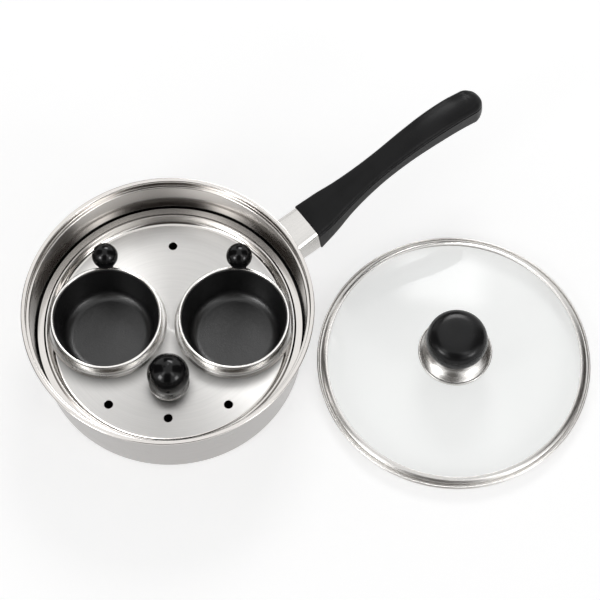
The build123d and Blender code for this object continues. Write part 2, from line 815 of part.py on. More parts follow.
# Steel rim folded over the edge of the glass, with a rolled lip and a skirt
pocket_r = glass_r + glass_gap
groove_z = rim_flange_z + rim_groove_h
lip_top = rim_flange_z + rim_lip_h
fold_out_z = glass_z + glass_t + glass_gap
fold_in_z = dome_z(rim_fold_r) + glass_gap
tuck_z = glass_z - glass_gap
with BuildPart() as lid_rim:
    with BuildSketch(upright(lid_x, lid_y, 0)) as rim_profile:
        with BuildLine():
            Polyline(
                (skirt_r - rim_t, 0),
                (skirt_r, 0),
                (skirt_r, rim_flange_z),
                (lid_r, rim_flange_z),
                (lid_r, lip_top),
                (lid_r - rim_lip_w, lip_top),
                (lid_r - rim_lip_w, groove_z),
                (skirt_r, groove_z),
                (skirt_r, fold_out_z + rim_fold_h),
                (rim_fold_r, fold_in_z + rim_fold_h),
                (rim_fold_r, fold_in_z),
                (pocket_r, fold_out_z),
                (pocket_r, tuck_z),
                (rim_tuck_r, tuck_z),
                (rim_tuck_r, tuck_z - rim_t),
                (skirt_r - rim_t, tuck_z - rim_t),
                close=True,
            )
        make_face()
        round_corner(rim_profile, lid_r, rim_flange_z, rim_soft)
        round_corner(rim_profile, lid_r, lip_top, rim_soft)
        round_corner(rim_profile, lid_r - rim_lip_w, lip_top, rim_soft)
        round_corner(rim_profile, skirt_r, fold_out_z + rim_fold_h, rim_fold_h)
        round_corner(rim_profile, rim_fold_r, fold_in_z + rim_fold_h, edge_soft)
        round_corner(rim_profile, skirt_r, 0, edge_soft)
    revolve(axis=lid_axis)
lid_rim.part.label = "lid_rim"
export_step(lid_rim.part, "parts/lid_rim.step")

# Flared steel base under the lid knob
step_r = base_ring_r - base_step_w
base_foot_z = dome_z(step_r - base_skin_t) + weld_gap
base_top_z = base_foot_z + base_top_h
step_z = base_foot_z + base_ring_h - base_step_h
dip_r = (step_r + base_top_r) / 2
dip_z = (step_z + base_top_z) / 2 - base_dip
with BuildPart() as lid_knob_base:
    with BuildSketch(upright(lid_x, lid_y, 0)) as flare_profile:
        with BuildLine():
            Polyline(
                (base_top_r, base_top_z),
                (base_bore_r, base_top_z),
                (base_bore_r, base_top_z - base_skin_t),
                (base_top_r - base_skin_t, base_top_z - base_skin_t),
            )
            ThreePointArc(
                (base_top_r - base_skin_t, base_top_z - base_skin_t),
                (dip_r - base_skin_t, dip_z - base_skin_t),
                (step_r - base_skin_t, step_z - base_skin_t),
            )
            Polyline(
                (step_r - base_skin_t, step_z - base_skin_t),
                (step_r - base_skin_t, base_foot_z),
                (base_ring_r, base_foot_z),
                (base_ring_r, base_foot_z + base_ring_h),
                (step_r, base_foot_z + base_ring_h),
                (step_r, step_z),
            )
            ThreePointArc((step_r, step_z), (dip_r, dip_z), (base_top_r, base_top_z))
        make_face()
        round_corner(flare_profile, base_ring_r, base_foot_z + base_ring_h, base_ring_soft / 2)
        round_corner(flare_profile, base_ring_r, base_foot_z, base_ring_soft)
    revolve(axis=lid_axis)
lid_knob_base.part.label = "lid_knob_base"
export_step(lid_knob_base.part, "parts/lid_knob_base.step")

# Upper gasket on the glass inside the base, and lower gasket under the glass
gasket_foot = glass_top + weld_gap
with BuildPart() as lid_gasket_upper:
    with BuildSketch(Plane.XY.offset(gasket_foot)):
        with Locations((lid_x, lid_y)):
            Circle(gasket_r)
            Circle(lid_bore_r + pass_gap, mode=Mode.SUBTRACT)
    extrude(amount=gasket_t)
lid_gasket_upper.part.label = "lid_gasket_upper"
export_step(lid_gasket_upper.part, "parts/lid_gasket_upper.step")

lower_gasket_top = dome_z(gasket_r) - glass_t - weld_gap
with BuildPart() as lid_gasket_lower:
    with BuildSketch(Plane.XY.offset(lower_gasket_top - gasket_t)):
        with Locations((lid_x, lid_y)):
            Circle(gasket_r)
            Circle(lid_bore_r + pass_gap, mode=Mode.SUBTRACT)
    extrude(amount=gasket_t)
lid_gasket_lower.part.label = "lid_gasket_lower"
export_step(lid_gasket_lower.part, "parts/lid_gasket_lower.step")

# Lid knob: broad flat-topped grip with a stem through the base down to the upper gasket
stem_z = gasket_foot + gasket_t
with BuildPart() as lid_knob:
    with BuildSketch(upright(lid_x, lid_y, base_top_z)) as knob_profile:
        with BuildLine():
            Polyline(
                (0, stem_z - base_top_z),
                (stem_r, stem_z - base_top_z),
                (stem_r, 0),
                (knob_low_r, 0),
            )
            ThreePointArc((knob_low_r, 0), (knob_swell_r, knob_swell_h), (knob_r, knob_wide_h))
            ThreePointArc((knob_r, knob_wide_h), (knob_turn_r, knob_turn_h), (knob_top_r, knob_h - knob_crown))
            Polyline(
                (knob_top_r, knob_h - knob_crown),
                (knob_flat_r, knob_h),
                (0, knob_h),
                (0, stem_z - base_top_z),
            )
        make_face()
        round_corner(knob_profile, knob_top_r, knob_h - knob_crown, knob_top_soft)
        round_corner(knob_profile, knob_flat_r, knob_h, knob_flat_soft)
        round_corner(knob_profile, knob_low_r, 0, knob_low_soft)
    revolve(axis=lid_axis)
    with BuildSketch(Plane.XY.offset(stem_z - overrun)):
        with Locations((lid_x, lid_y)):
            Circle(lid_bore_r)
    extrude(amount=overrun + lid_bore_depth, mode=Mode.SUBTRACT)
lid_knob.part.label = "lid_knob"
export_step(lid_knob.part, "parts/lid_knob.step")

# Washer and screw under the glass
washer_top = lower_gasket_top - gasket_t
with BuildPart() as lid_washer:
    with BuildSketch(Plane.XY.offset(washer_top - lid_washer_t)):
        with Locations((lid_x, lid_y)):
            Circle(lid_washer_r)
            Circle(lid_bore_r + pass_gap, mode=Mode.SUBTRACT)
    extrude(amount=lid_washer_t)
lid_washer.part.label = "lid_washer"
export_step(lid_washer.part, "parts/lid_washer.step")

screw_seat = washer_top - lid_washer_t
with BuildPart() as lid_screw:
    with BuildSketch(Plane.XY.offset(screw_seat - lid_screw_head_t)):
        with Locations((lid_x, lid_y)):
            Circle(lid_screw_head_r)
    extrude(amount=lid_screw_head_t)
    fillet(lid_screw.faces().sort_by(Axis.Z)[0].edges(), radius=lid_screw_head_t / 2)
    with BuildSketch(Plane.XY.offset(screw_seat - lid_screw_head_t)):
        with Locations((lid_x, lid_y)):
            Rectangle(2 * lid_screw_head_r, slot_w)
            Rectangle(slot_w, 2 * lid_screw_head_r)
            Circle(lid_screw_head_r / 2, mode=Mode.INTERSECT)
    extrude(amount=slot_depth, mode=Mode.SUBTRACT)
    with BuildSketch(Plane.XY.offset(screw_seat)):
        with Locations((lid_x, lid_y)):
            Circle(lid_bore_r - thread_gap)
    extrude(amount=stem_z - screw_seat + lid_bore_depth - pass_gap)
lid_screw.part.label = "lid_screw"
export_step(lid_screw.part, "parts/lid_screw.step")
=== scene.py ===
import math

import bmesh
import bpy
from bpy.props import FloatProperty, FloatVectorProperty, PointerProperty
from mathutils import Matrix, Vector


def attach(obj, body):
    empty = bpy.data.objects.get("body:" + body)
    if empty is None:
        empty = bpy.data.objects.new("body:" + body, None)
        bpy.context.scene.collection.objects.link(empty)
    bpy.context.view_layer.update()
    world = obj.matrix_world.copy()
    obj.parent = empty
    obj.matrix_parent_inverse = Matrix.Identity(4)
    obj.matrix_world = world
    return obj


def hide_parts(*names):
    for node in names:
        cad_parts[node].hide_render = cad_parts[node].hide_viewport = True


bl_info = {
    "name": "Egg poacher pan",
    "version": (1, 0, 0),
    "blender": (4, 5, 0),
    "location": "3D View > Sidebar > Egg poacher",
    "description": "Builds a two-cup egg poaching pan with its plate, cups, handle and glass lid",
    "category": "Add Mesh",
}

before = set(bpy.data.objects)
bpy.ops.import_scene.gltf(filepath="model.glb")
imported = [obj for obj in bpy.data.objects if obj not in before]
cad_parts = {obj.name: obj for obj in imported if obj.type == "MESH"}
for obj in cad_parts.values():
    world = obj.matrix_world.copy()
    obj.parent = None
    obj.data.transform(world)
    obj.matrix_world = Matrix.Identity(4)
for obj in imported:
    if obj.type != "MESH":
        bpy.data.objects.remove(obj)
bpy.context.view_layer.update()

# Sides of a turned piece, largest step of an arc, and the angle that parts two faces
TURNS = 256
ARC_STEP = math.radians(12)
SHARP_EDGE = math.radians(38)
# In metres: radius that counts as the axis, and how far a drill stands out of a sheet
ON_AXIS = 1e-7
CLEAR = 0.002
# In millimetres: points of a cut piece this near to each other become one
MERGED = 0.002
WHITE = (1, 1, 1, 1)
# What lamps and cards face
AIM = Vector((0.07, 0.0, 0.03))


# Settings


def length(name, size, description):
    """A length setting, written here in millimetres and kept in metres"""
    return FloatProperty(
        name=name, default=size / 1000, soft_min=0.0, soft_max=0.3, unit="LENGTH", precision=4,
        description=description)


def degrees(name, angle, description):
    """An angle setting, written here in degrees"""
    return FloatProperty(
        name=name, default=math.radians(angle), subtype="ANGLE", unit="ROTATION",
        description=description)


def tint(name, colour, description):
    """A colour setting in linear values"""
    return FloatVectorProperty(
        name=name, default=colour, size=3, min=0.0, max=1.0, subtype="COLOR",
        description=description)


def number(name, value, description):
    """A plain setting"""
    return FloatProperty(name=name, default=value, soft_min=0.0, description=description)


class PanSizes(bpy.types.PropertyGroup):
    """Sizes of the saucepan's shell and base"""

    lip: length("Lip radius", 85.0, "Outer radius of the flat rolled lip")
    height: length("Height", 58.0, "From the table to the top of the lip")
    sheet: length("Sheet", 0.8, "Thickness of the spun steel")
    lip_thick: length("Lip thickness", 1.3, "Thickness of the rolled lip")
    seat: length("Seat radius", 82.4, "Inner radius above the lid ledge")
    ledge: length("Ledge radius", 80.5, "Inner radius of the ledge that the lid sits on")
    ledge_height: length("Ledge height", 53.5, "Height of the lid ledge")
    foot: length("Wall foot radius", 77.6, "Outer radius of the wall at the floor")
    heel: length("Heel radius", 5.0, "Rounding between the wall and the floor")
    base: length("Base thickness", 3.0, "Height of the shell's floor above the table")
    rest: length("Rest height", 31.0, "Height of the inner bead that carries the plate")
    rest_radius: length("Rest radius", 77.2, "Inner radius of that bead")
    cap: length("Cap radius", 71.0, "Radius of the steel cap under the base")
    cap_sheet: length("Cap sheet", 0.6, "Thickness of the cap")


class HandleSizes(bpy.types.PropertyGroup):
    """Sizes of the ferrule and the grip"""

    direction: degrees("Direction", 36.5, "Way the handle points, seen from above")
    slope: degrees("Slope", 7.0, "Rise of the ferrule towards the grip")
    height: length("Height", 38.7, "Height of the handle's line at the wall")
    ferrule_width: length("Ferrule width", 23.4, "Width of the steel sleeve at the grip")
    ferrule_height: length("Ferrule height", 21.6, "Height of the steel sleeve at the grip")
    root_width: length("Ferrule root width", 24.6, "Width of the sleeve at the wall")
    root_height: length("Ferrule root height", 18.6, "Height of the sleeve at the wall")
    ferrule_sheet: length("Ferrule sheet", 0.8, "Thickness of the sleeve")
    ferrule_soft: length("Ferrule corners", 3.2, "Corner radius of the sleeve")
    ferrule_length: length("Ferrule length", 21.2, "Length of the sleeve from the wall")
    grip_length: length("Grip length", 130.0, "Length of the grip past the sleeve")
    grip_half: length("Grip half width", 12.2, "Half the width of the grip at its root")
    grip_top: length("Grip top", 11.3, "Rise of the grip's top at its root")
    grip_low: length("Grip underside", 11.9, "Depth of the grip's underside at its root")
    edge_top: length("Upper edge", 2.8, "Rounding of the grip's upper edges")
    edge_low: length("Lower edge", 3.6, "Rounding of the grip's lower edges")
    screw_place: length("Screw place", 14.0, "Distance of the screw past the sleeve")
    groove: length("Groove width", 2.0, "Width of the groove under the grip's shoulder")
    groove_depth: length("Groove depth", 1.4, "Depth of that groove")


class PlateSizes(bpy.types.PropertyGroup):
    """Sizes of the poaching plate and its knob"""

    radius: length("Plate radius", 78.1, "Outer radius of the plate")
    sheet: length("Sheet", 0.7, "Thickness of the plate")
    floor: length("Floor height", 26.7, "Height of the plate's floor")
    step_low: length("Step foot", 71.2, "Radius of the step at the floor")
    step_high: length("Step top", 72.3, "Radius of the step at its top")
    step_soft: length("Step rounding", 3.0, "Rounding at the foot of the step")
    bead: length("Bead height", 0.7, "Rise of the bead round the step")
    bead_width: length("Bead width", 1.0, "Width of the bead")
    vent: length("Vent radius", 2.6, "Radius of each steam vent")
    cup_across: length("Cup place", 37.6, "Cup centres to the left and right")
    cup_back: length("Cup set back", 3.9, "Cup centres behind the middle")
    collar: length("Collar height", 1.5, "Rise of the collar round each cup")
    collar_top: length("Collar top", 34.3, "Radius of the collar's top")
    collar_foot: length("Collar foot", 35.4, "Radius of the collar's foot")
    opening: length("Opening radius", 31.1, "Radius of the opening for each cup")
    knob_front: length("Knob place", 33.5, "Distance of the knob in front of the middle")
    knob: length("Knob radius", 12.3, "Radius of the plate's ball knob")
    knob_rise: length("Ball rise", 8.0, "Height of the ball's middle above its neck's foot")


class CupSizes(bpy.types.PropertyGroup):
    """Sizes of the egg cups and their ball knobs"""

    rim_height: length("Rim height", 36.0, "Height of the cup's rim")
    rim: length("Rim radius", 33.0, "Outer radius of the rim")
    mouth: length("Mouth radius", 31.3, "Inner radius at the rim")
    floor: length("Floor height", 11.0, "Height of the cup's floor")
    foot: length("Foot radius", 26.6, "Inner radius at the floor")
    sheet: length("Sheet", 0.7, "Thickness of the cup")
    heel: length("Heel radius", 6.5, "Rounding between the wall and the floor")
    coat: length("Coating", 0.2, "Thickness of the non-stick lining")
    knob: length("Knob radius", 7.7, "Radius of the ball knob")
    knob_rise: length("Ball rise", 8.6, "Height of the ball's middle above the tab")
    reach: length("Knob place", 35.4, "Distance of the knob from the cup's axis")
    left_turn: degrees("Left knob turn", 2.0, "Turn of the left knob away from straight back")
    right_turn: degrees("Right knob turn", 4.8, "Turn of the right knob away from straight back")


class LidSizes(bpy.types.PropertyGroup):
    """Sizes of the glass lid and its knob"""

    across: length("Place to the right", 168.4, "Lid centre to the right of the pan's axis")
    back: length("Place to the back", -10.5, "Lid centre behind the pan's axis")
    radius: length("Rim radius", 81.8, "Outer radius of the steel rim")
    skirt: length("Skirt radius", 79.2, "Outer radius of the skirt")
    sheet: length("Sheet", 0.6, "Thickness of the rim's steel")
    flange: length("Flange height", 4.0, "Height of the flange above the table")
    glass: length("Glass radius", 78.4, "Radius of the glass")
    glass_thick: length("Glass thickness", 3.2, "Thickness of the glass")
    glass_edge: length("Glass height", 3.8, "Height of the glass edge above the table")
    rise: length("Dome rise", 11.0, "Rise of the dome")
    ring: length("Base ring radius", 22.0, "Radius of the flared base under the knob")
    knob: length("Knob radius", 18.1, "Widest radius of the knob")
    knob_height: length("Knob height", 18.6, "Height of the knob above its base")


class Colours(bpy.types.PropertyGroup):
    """Colours of the finishes, as linear values"""

    polished: tint("Polished steel", (0.67, 0.645, 0.62), "Inside of the pan and its lip")
    satin: tint("Satin steel", (0.42, 0.405, 0.395), "Outside of the pan")
    turned: tint("Turned steel", (0.70, 0.69, 0.675), "Poaching plate")
    bright: tint("Bright steel", (0.68, 0.665, 0.645), "Lid rim, its knob's base and ferrule")
    # Painted shade: the dish's steel is 0.4 times the bright steel, standing in for the reflection
    # of the black ball above it
    dish: tint("Dish steel", (0.272, 0.266, 0.258), "Dish under the plate's knob")
    cup: tint("Cup steel", (0.86, 0.845, 0.82), "Outside of the egg cups")
    aluminium: tint("Aluminium", (0.62, 0.62, 0.62), "Heat-spreading disc of the base")
    grip: tint("Satin black", (0.024, 0.024, 0.0245), "Grip")
    knob: tint("Knob black", (0.011, 0.011, 0.0115), "Knob of the lid")
    gloss: tint("Gloss black", (0.006, 0.006, 0.0065), "Ball knobs")
    lining: tint("Non-stick lining", (0.0045, 0.0045, 0.005), "Inside of the cups")
    rubber: tint("Gasket rubber", (0.03, 0.03, 0.03), "Gaskets of the lid")
    glass: tint("Glass", (0.965, 0.972, 0.968), "Glass of the lid")
    floor: tint("Floor", (0.72, 0.72, 0.72), "Studio floor")


class Studio(bpy.types.PropertyGroup):
    """Camera and lamps"""

    lens: number("Lens", 128.1, "Focal length in millimetres for a 36 mm sensor")
    camera: FloatVectorProperty(
        name="Camera", default=(0.0765, -0.5178, 1.1782), subtype="TRANSLATION", unit="LENGTH",
        description="Place of the camera",
    )
    tilt: degrees("Camera tilt", 25.0, "Tilt of the camera from straight down")
    ambient: number("Ambient light", 0.42, "Brightness of the surroundings as a lamp")
    key: number("Back soft box", 4.4, "Brightness of the soft box behind the object")
    side: number("Side soft boxes", 3.0, "Brightness of the soft boxes at the left and right")
    floor_fill: number("Floor fill", 0.55, "Brightness added to the floor so that it shows white")


class PoacherSettings(bpy.types.PropertyGroup):
    """All settings of the egg poacher pan"""

    pan: PointerProperty(type=PanSizes, name="Pan", description="Sizes of the pan")
    handle: PointerProperty(type=HandleSizes, name="Handle", description="Sizes of the handle")
    plate: PointerProperty(type=PlateSizes, name="Plate", description="Sizes of the poaching plate")
    cups: PointerProperty(type=CupSizes, name="Cups", description="Sizes of the egg cups")
    lid: PointerProperty(type=LidSizes, name="Lid", description="Sizes of the glass lid")
    colours: PointerProperty(type=Colours, name="Colours", description="Colours of the finishes")
    studio: PointerProperty(type=Studio, name="Studio", description="Camera and lamps")


# Outlines


def mm(*values):
    """Millimetres as metres: one length, or several as a tuple"""
    made = tuple(value / 1000 for value in values)
    return made[0] if len(made) == 1 else made


def rounded(corners):
    """Outline points from (across, up, softness) corners, each soft one turned by an arc"""
    outline = []
    for i, (across, up, soft) in enumerate(corners):
        here = Vector((across, up))
        if not soft:
            outline.append(here)
            continue
        back = (Vector(corners[i - 1][:2]) - here).normalized()
        onward = (Vector(corners[(i + 1) % len(corners)][:2]) - here).normalized()
        half = back.angle(onward) / 2
        centre = here + (back + onward).normalized() * (soft / math.sin(half))
        spoke = here + back * (soft / math.tan(half)) - centre
        turn = math.pi - 2 * half
        if back.x * onward.y - back.y * onward.x > 0:
            turn = -turn
        steps = max(3, math.ceil(abs(turn) / ARC_STEP))
        outline += [centre + Matrix.Rotation(turn * k / steps, 2) @ spoke for k in range(steps + 1)]
    return outline


def bow(start, through, end, steps):
    """Points of the circular arc from start through a middle point to end"""
    a, b, c = Vector(start), Vector(through), Vector(end)
    d = 2 * (a.x * (b.y - c.y) + b.x * (c.y - a.y) + c.x * (a.y - b.y))
    aa, bb, cc = a.length_squared, b.length_squared, c.length_squared
    centre = Vector((
        (aa * (b.y - c.y) + bb * (c.y - a.y) + cc * (a.y - b.y)) / d,
        (aa * (c.x - b.x) + bb * (a.x - c.x) + cc * (b.x - a.x)) / d,
    ))
    spoke = a - centre
    turn = (b - centre).angle_signed(spoke) + (c - centre).angle_signed(b - centre)
    return [centre + Matrix.Rotation(turn * k / steps, 2) @ spoke for k in range(steps + 1)]


def flowing(points, steps):
    """Points of a smooth line through the given points"""
    rest = [Vector(p) for p in points]
    ends = [rest[0] * 2 - rest[1], *rest, rest[-1] * 2 - rest[-2]]
    line = []
    for p, q, r, s in zip(ends, ends[1:], ends[2:], ends[3:]):
        for k in range(steps):
            t = k / steps
            line.append(
                q + (r - p) * (t / 2)
                + (p * 2 - q * 5 + r * 4 - s) * (t * t / 2)
                + (q * 3 - p - r * 3 + s) * (t * t * t / 2)
            )
    line.append(rest[-1])
    return line


# Meshes


def made_piece(name, mesh, place):
    """An object from a bmesh, with its faces turned outwards"""
    bmesh.ops.recalc_face_normals(mesh, faces=mesh.faces)
    data = bpy.data.meshes.new(name)
    mesh.to_mesh(data)
    mesh.free()
    piece = bpy.data.objects.new(name, data)
    piece.matrix_world = place
    bpy.context.scene.collection.objects.link(piece)
    return piece


def spun(name, outline, at=(0, 0), turns=TURNS):
    """Spins an outline of (radius, height) points, closed or from axis to axis, at a place"""
    mesh = bmesh.new()
    spokes = [Matrix.Rotation(2 * math.pi * k / turns, 2) @ Vector((1, 0)) for k in range(turns)]
    rings = []
    for radius, height in outline:
        if radius < ON_AXIS:
            rings.append(height)
        else:
            spots = [(radius * spoke.x, radius * spoke.y, height) for spoke in spokes]
            rings.append([mesh.verts.new(spot) for spot in spots])
    pairs = list(zip(rings, rings[1:]))
    if outline[0][0] > ON_AXIS:
        pairs.append((rings[-1], rings[0]))
    for low, high in pairs:
        if isinstance(low, list) and isinstance(high, list):
            for k in range(turns):
                j = (k + 1) % turns
                mesh.faces.new((low[k], high[k], high[j], low[j]))
            continue
        ring, middle = (low, high) if isinstance(low, list) else (high, low)
        if abs(ring[0].co.z - middle) < ON_AXIS:
            mesh.faces.new(ring)
            continue
        tip = mesh.verts.new((0, 0, middle))
        for k in range(turns):
            mesh.faces.new((ring[k], ring[(k + 1) % turns], tip))
    return made_piece(name, mesh, Matrix.Translation((*at, 0)))


def lofted(name, sections, place, looped=False):
    """A skin over sections of equal point count, each a list of points in the piece's own frame"""
    mesh = bmesh.new()
    rings = [[mesh.verts.new(p) for p in section] for section in sections]
    pairs = list(zip(rings, rings[1:]))
    if looped:
        pairs.append((rings[-1], rings[0]))
    for low, high in pairs:
        for k in range(len(low)):
            j = (k + 1) % len(low)
            mesh.faces.new((low[k], low[j], high[j], high[k]))
    if not looped:
        mesh.faces.new(rings[0])
        mesh.faces.new(list(reversed(rings[-1])))
    return made_piece(name, mesh, place)


def worked(piece, operation, *tools):
    """Joins or cuts a piece with other meshes, in millimetres for accuracy, and removes these"""
    place = piece.matrix_world.copy()
    for each in (*tools, piece):
        here = place.inverted() @ each.matrix_world
        each.data.transform(Matrix.Diagonal((1000, 1000, 1000, 1)) @ here)
        each.matrix_world = Matrix()
    for tool in tools:
        step = piece.modifiers.new(operation, "BOOLEAN")
        step.operation = operation
        step.solver = "EXACT"
        step.object = tool
    bpy.context.view_layer.update()
    mesh = bmesh.new()
    mesh.from_object(piece, bpy.context.evaluated_depsgraph_get())
    piece.modifiers.clear()
    bmesh.ops.remove_doubles(mesh, verts=mesh.verts, dist=MERGED)
    bmesh.ops.dissolve_degenerate(mesh, edges=mesh.edges, dist=MERGED)
    if not mesh.faces or any(len(edge.link_faces) != 2 for edge in mesh.edges):
        raise RuntimeError(f"{piece.name} isn't a closed solid after its {operation.lower()}")
    bmesh.ops.scale(mesh, vec=(0.001, 0.001, 0.001), verts=mesh.verts)
    mesh.to_mesh(piece.data)
    mesh.free()
    piece.matrix_world = place
    for tool in tools:
        bpy.data.objects.remove(tool)


def settled(piece, finish, body, slot, *nodes, more=()):
    """Smooths a piece, gives it its finishes and puts it on a body in the stead of solids"""
    piece.data.shade_smooth()
    piece.data.set_sharp_from_angle(angle=SHARP_EDGE)
    even = piece.modifiers.new("even shading", "WEIGHTED_NORMAL")
    even.keep_sharp = True
    for name in (finish, *more):
        piece.data.materials.append(finish_of(name))
    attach(piece, body)
    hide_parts(*nodes)


def refinished(finish, *nodes):
    """Gives carried-over solids a full finish"""
    for node in nodes:
        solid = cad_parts[node]
        if not solid.material_slots:
            solid.data.materials.append(finish_of(finish))
        for place in solid.material_slots:
            place.material = finish_of(finish)


# Patterns, tones and painted shade


def wire(tree, kind, inputs=None, **settings):
    """Adds a node with its settings, and values or sockets for its inputs; returns its result"""
    node = tree.nodes.new("ShaderNode" + kind)
    for key, value in settings.items():
        setattr(node, key, value)
    for key, value in (inputs or {}).items():
        if isinstance(value, bpy.types.NodeSocket):
            tree.links.new(value, node.inputs[key])
        else:
            node.inputs[key].default_value = value
    return next(socket for socket in node.outputs if socket.enabled)


def maths(tree, operation, *values):
    """One sum on numbers or sockets"""
    return wire(tree, "Math", dict(enumerate(values)), operation=operation)


def own_place(tree):
    """A point's place in the piece's own frame"""
    return tree.nodes.new("ShaderNodeTexCoord").outputs["Object"]


def split_place(tree):
    """The X, Y and Z of that place"""
    return wire(tree, "SeparateXYZ", {0: own_place(tree)}).node.outputs


def surfaced(tree, kind, inputs, output="Material"):
    """Joins two looks and shows the result"""
    both = wire(tree, kind, inputs)
    tree.links.new(both, tree.nodes[output + " Output"].inputs["Surface"])


def spread(tree, value, low, high, start=0.3, end=0.7, **settings):
    """A pattern's value laid over a range"""
    inputs = {"Value": value, "From Min": start, "From Max": end, "To Min": low, "To Max": high}
    return wire(tree, "MapRange", inputs, **settings)


def shaded(tree, colour, factor):
    """A colour made lighter or darker by a pattern round 1"""
    return wire(tree, "VectorMath", {0: colour, "Scale": factor}, operation="SCALE")


def raised(tree, height, depth):
    """A surface raised by a pattern, to this depth in metres"""
    return wire(tree, "Bump", {"Height": height, "Distance": depth, "Strength": 1.0})


def clouds(tree, size, detail=3.0):
    """Soft uneven patches of about this size"""
    return wire(tree, "TexNoise", {"Vector": own_place(tree), "Scale": 1 / size, "Detail": detail})


def round_lines(pitch, waver=3.0):
    """Fine lines round the piece's own axis, as a lathe or a buffing wheel leaves them"""
    def pattern(tree):
        x, y, z = split_place(tree)
        flat = wire(tree, "CombineXYZ", {"X": x, "Y": y, "Z": 0.0})
        radius = wire(tree, "VectorMath", {0: flat}, operation="LENGTH")
        way = wire(tree, "VectorMath", {0: flat}, operation="NORMALIZE")
        along = maths(tree, "MULTIPLY", maths(tree, "ADD", radius, z), 1 / pitch)
        wavered = wire(tree, "VectorMath", {0: way, "Scale": waver}, operation="SCALE")
        lift = wire(tree, "CombineXYZ", {"X": 0.0, "Y": 0.0, "Z": along})
        spot = wire(tree, "VectorMath", {0: wavered, 1: lift}, operation="ADD")
        inputs = {"Vector": spot, "Scale": 1.0, "Detail": 4.0, "Roughness": 0.65}
        return wire(tree, "TexNoise", inputs)
    return pattern


def straight_lines(pitch, stretch):
    """Fine lines along the piece's own X axis"""
    def pattern(tree):
        scale = (1 / stretch, 1 / pitch, 1 / pitch)
        spot = wire(tree, "VectorMath", {0: own_place(tree), 1: scale}, operation="MULTIPLY")
        inputs = {"Vector": spot, "Scale": 1.0, "Detail": 4.0, "Roughness": 0.6}
        return wire(tree, "TexNoise", inputs)
    return pattern


def painted_shade_above(start, *steps):
    """Painted shade above a starting height, darker from each step's low end up to its high end"""
    def shade(tree):
        height = split_place(tree)["Z"]
        tone = 1.0
        for low, high, least in steps:
            tone = maths(tree, "MULTIPLY", tone, spread(tree, height, least, 1.0, low, high))
        return maths(tree, "MAXIMUM", tone, maths(tree, "LESS_THAN", height, start))
    return shade


def painted_shade_round(across, up, start, end, least, above=-1.0):
    """Painted shade round a spot at both sides of the middle, on what lies above a height"""
    def shade(tree):
        x, y, z = split_place(tree)
        side = maths(tree, "SUBTRACT", maths(tree, "ABSOLUTE", x), across)
        along = maths(tree, "SUBTRACT", y, up)
        squares = [maths(tree, "MULTIPLY", part, part) for part in (side, along)]
        gap = maths(tree, "SQRT", maths(tree, "ADD", *squares))
        tone = spread(tree, gap, least, 1.0, start, end, interpolation_type="SMOOTHSTEP")
        return maths(tree, "MAXIMUM", tone, maths(tree, "LESS_THAN", z, above))
    return shade


# Finishes


def fresh(name, colour, roughness, **sockets):
    """A new finish with its shader's plain values set"""
    finish = bpy.data.materials.new(name)
    finish.use_nodes = True
    finish.diffuse_color = (*colour, 1)
    tree = finish.node_tree
    shader = tree.nodes["Principled BSDF"]
    shader.inputs["Base Color"].default_value = (*colour, 1)
    shader.inputs["Roughness"].default_value = roughness
    for key, value in sockets.items():
        shader.inputs[key.replace("_", " ")].default_value = value
    return finish, tree, shader


def dressed(tree, shader, colour, tone, rough, bump):
    """Links a finish's tone, roughness and bump to its shader"""
    tree.links.new(shaded(tree, colour, tone), shader.inputs["Base Color"])
    tree.links.new(rough, shader.inputs["Roughness"])
    tree.links.new(bump, shader.inputs["Normal"])


def steel(name, colour, roughness, lines, coarse=None, contrast=0.05, cut=4e-6, flow=0.0,
          wear=0.06, painted_shades=()):
    """Stainless steel with its working lines, uneven polish and fine cuts, and any painted shades
    laid on its colour
    """
    finish, tree, shader = fresh(name, colour, roughness, Metallic=1.0, Anisotropic=flow)
    fine = lines(tree)
    patches = clouds(tree, mm(30))
    tone = maths(
        tree, "ADD", spread(tree, fine, 1 - contrast, 1 + contrast),
        spread(tree, patches, -0.02, 0.02))
    if coarse:
        streaks = spread(tree, coarse(tree), 1 - contrast, 1 + contrast)
        tone = maths(tree, "MULTIPLY", tone, streaks)
    # Painted shades darken the colour where they are given
    for shade in painted_shades:
        tone = maths(tree, "MULTIPLY", tone, shade(tree))
    rough = maths(
        tree, "ADD", spread(tree, fine, roughness * 0.85, roughness * 1.2),
        spread(tree, patches, -wear / 2, wear / 2))
    rough = maths(tree, "MAXIMUM", rough, 0.02)
    dressed(tree, shader, colour, tone, rough, raised(tree, fine, cut))
    if flow:
        tangent = wire(tree, "Tangent", direction_type="RADIAL", axis="Z")
        tree.links.new(tangent, shader.inputs["Tangent"])
    return finish


def moulded(name, colour, roughness, grain, depth, gloss=0.5):
    """Moulded black plastic with a faint skin and handling marks"""
    finish, tree, shader = fresh(name, colour, roughness, IOR=1.5, Specular_IOR_Level=gloss)
    fine = clouds(tree, grain, 2.0)
    marks = clouds(tree, mm(18), 4.0)
    tone = maths(tree, "ADD", spread(tree, marks, 0.9, 1.12), spread(tree, fine, -0.05, 0.05))
    rough = maths(
        tree, "ADD", spread(tree, marks, roughness - 0.05, roughness + 0.05),
        spread(tree, fine, -0.015, 0.015))
    dressed(tree, shader, colour, tone, rough, raised(tree, fine, depth))
    return finish


def nonstick(name, colour):
    """Sprayed non-stick coating: fine light specks in a matt black skin"""
    finish, tree, shader = fresh(name, colour, 0.38, IOR=1.6, Specular_IOR_Level=0.6)
    peel = clouds(tree, mm(0.9))
    cells = wire(tree, "TexVoronoi", {"Vector": own_place(tree), "Scale": 1 / mm(0.8)})
    specks = spread(tree, cells, 7.0, 0.9, 0.05, 0.22)
    tone = maths(tree, "MULTIPLY", specks, spread(tree, clouds(tree, mm(9)), 0.9, 1.12))
    dressed(tree, shader, colour, tone, spread(tree, peel, 0.3, 0.45), raised(tree, peel, 6e-5))
    return finish


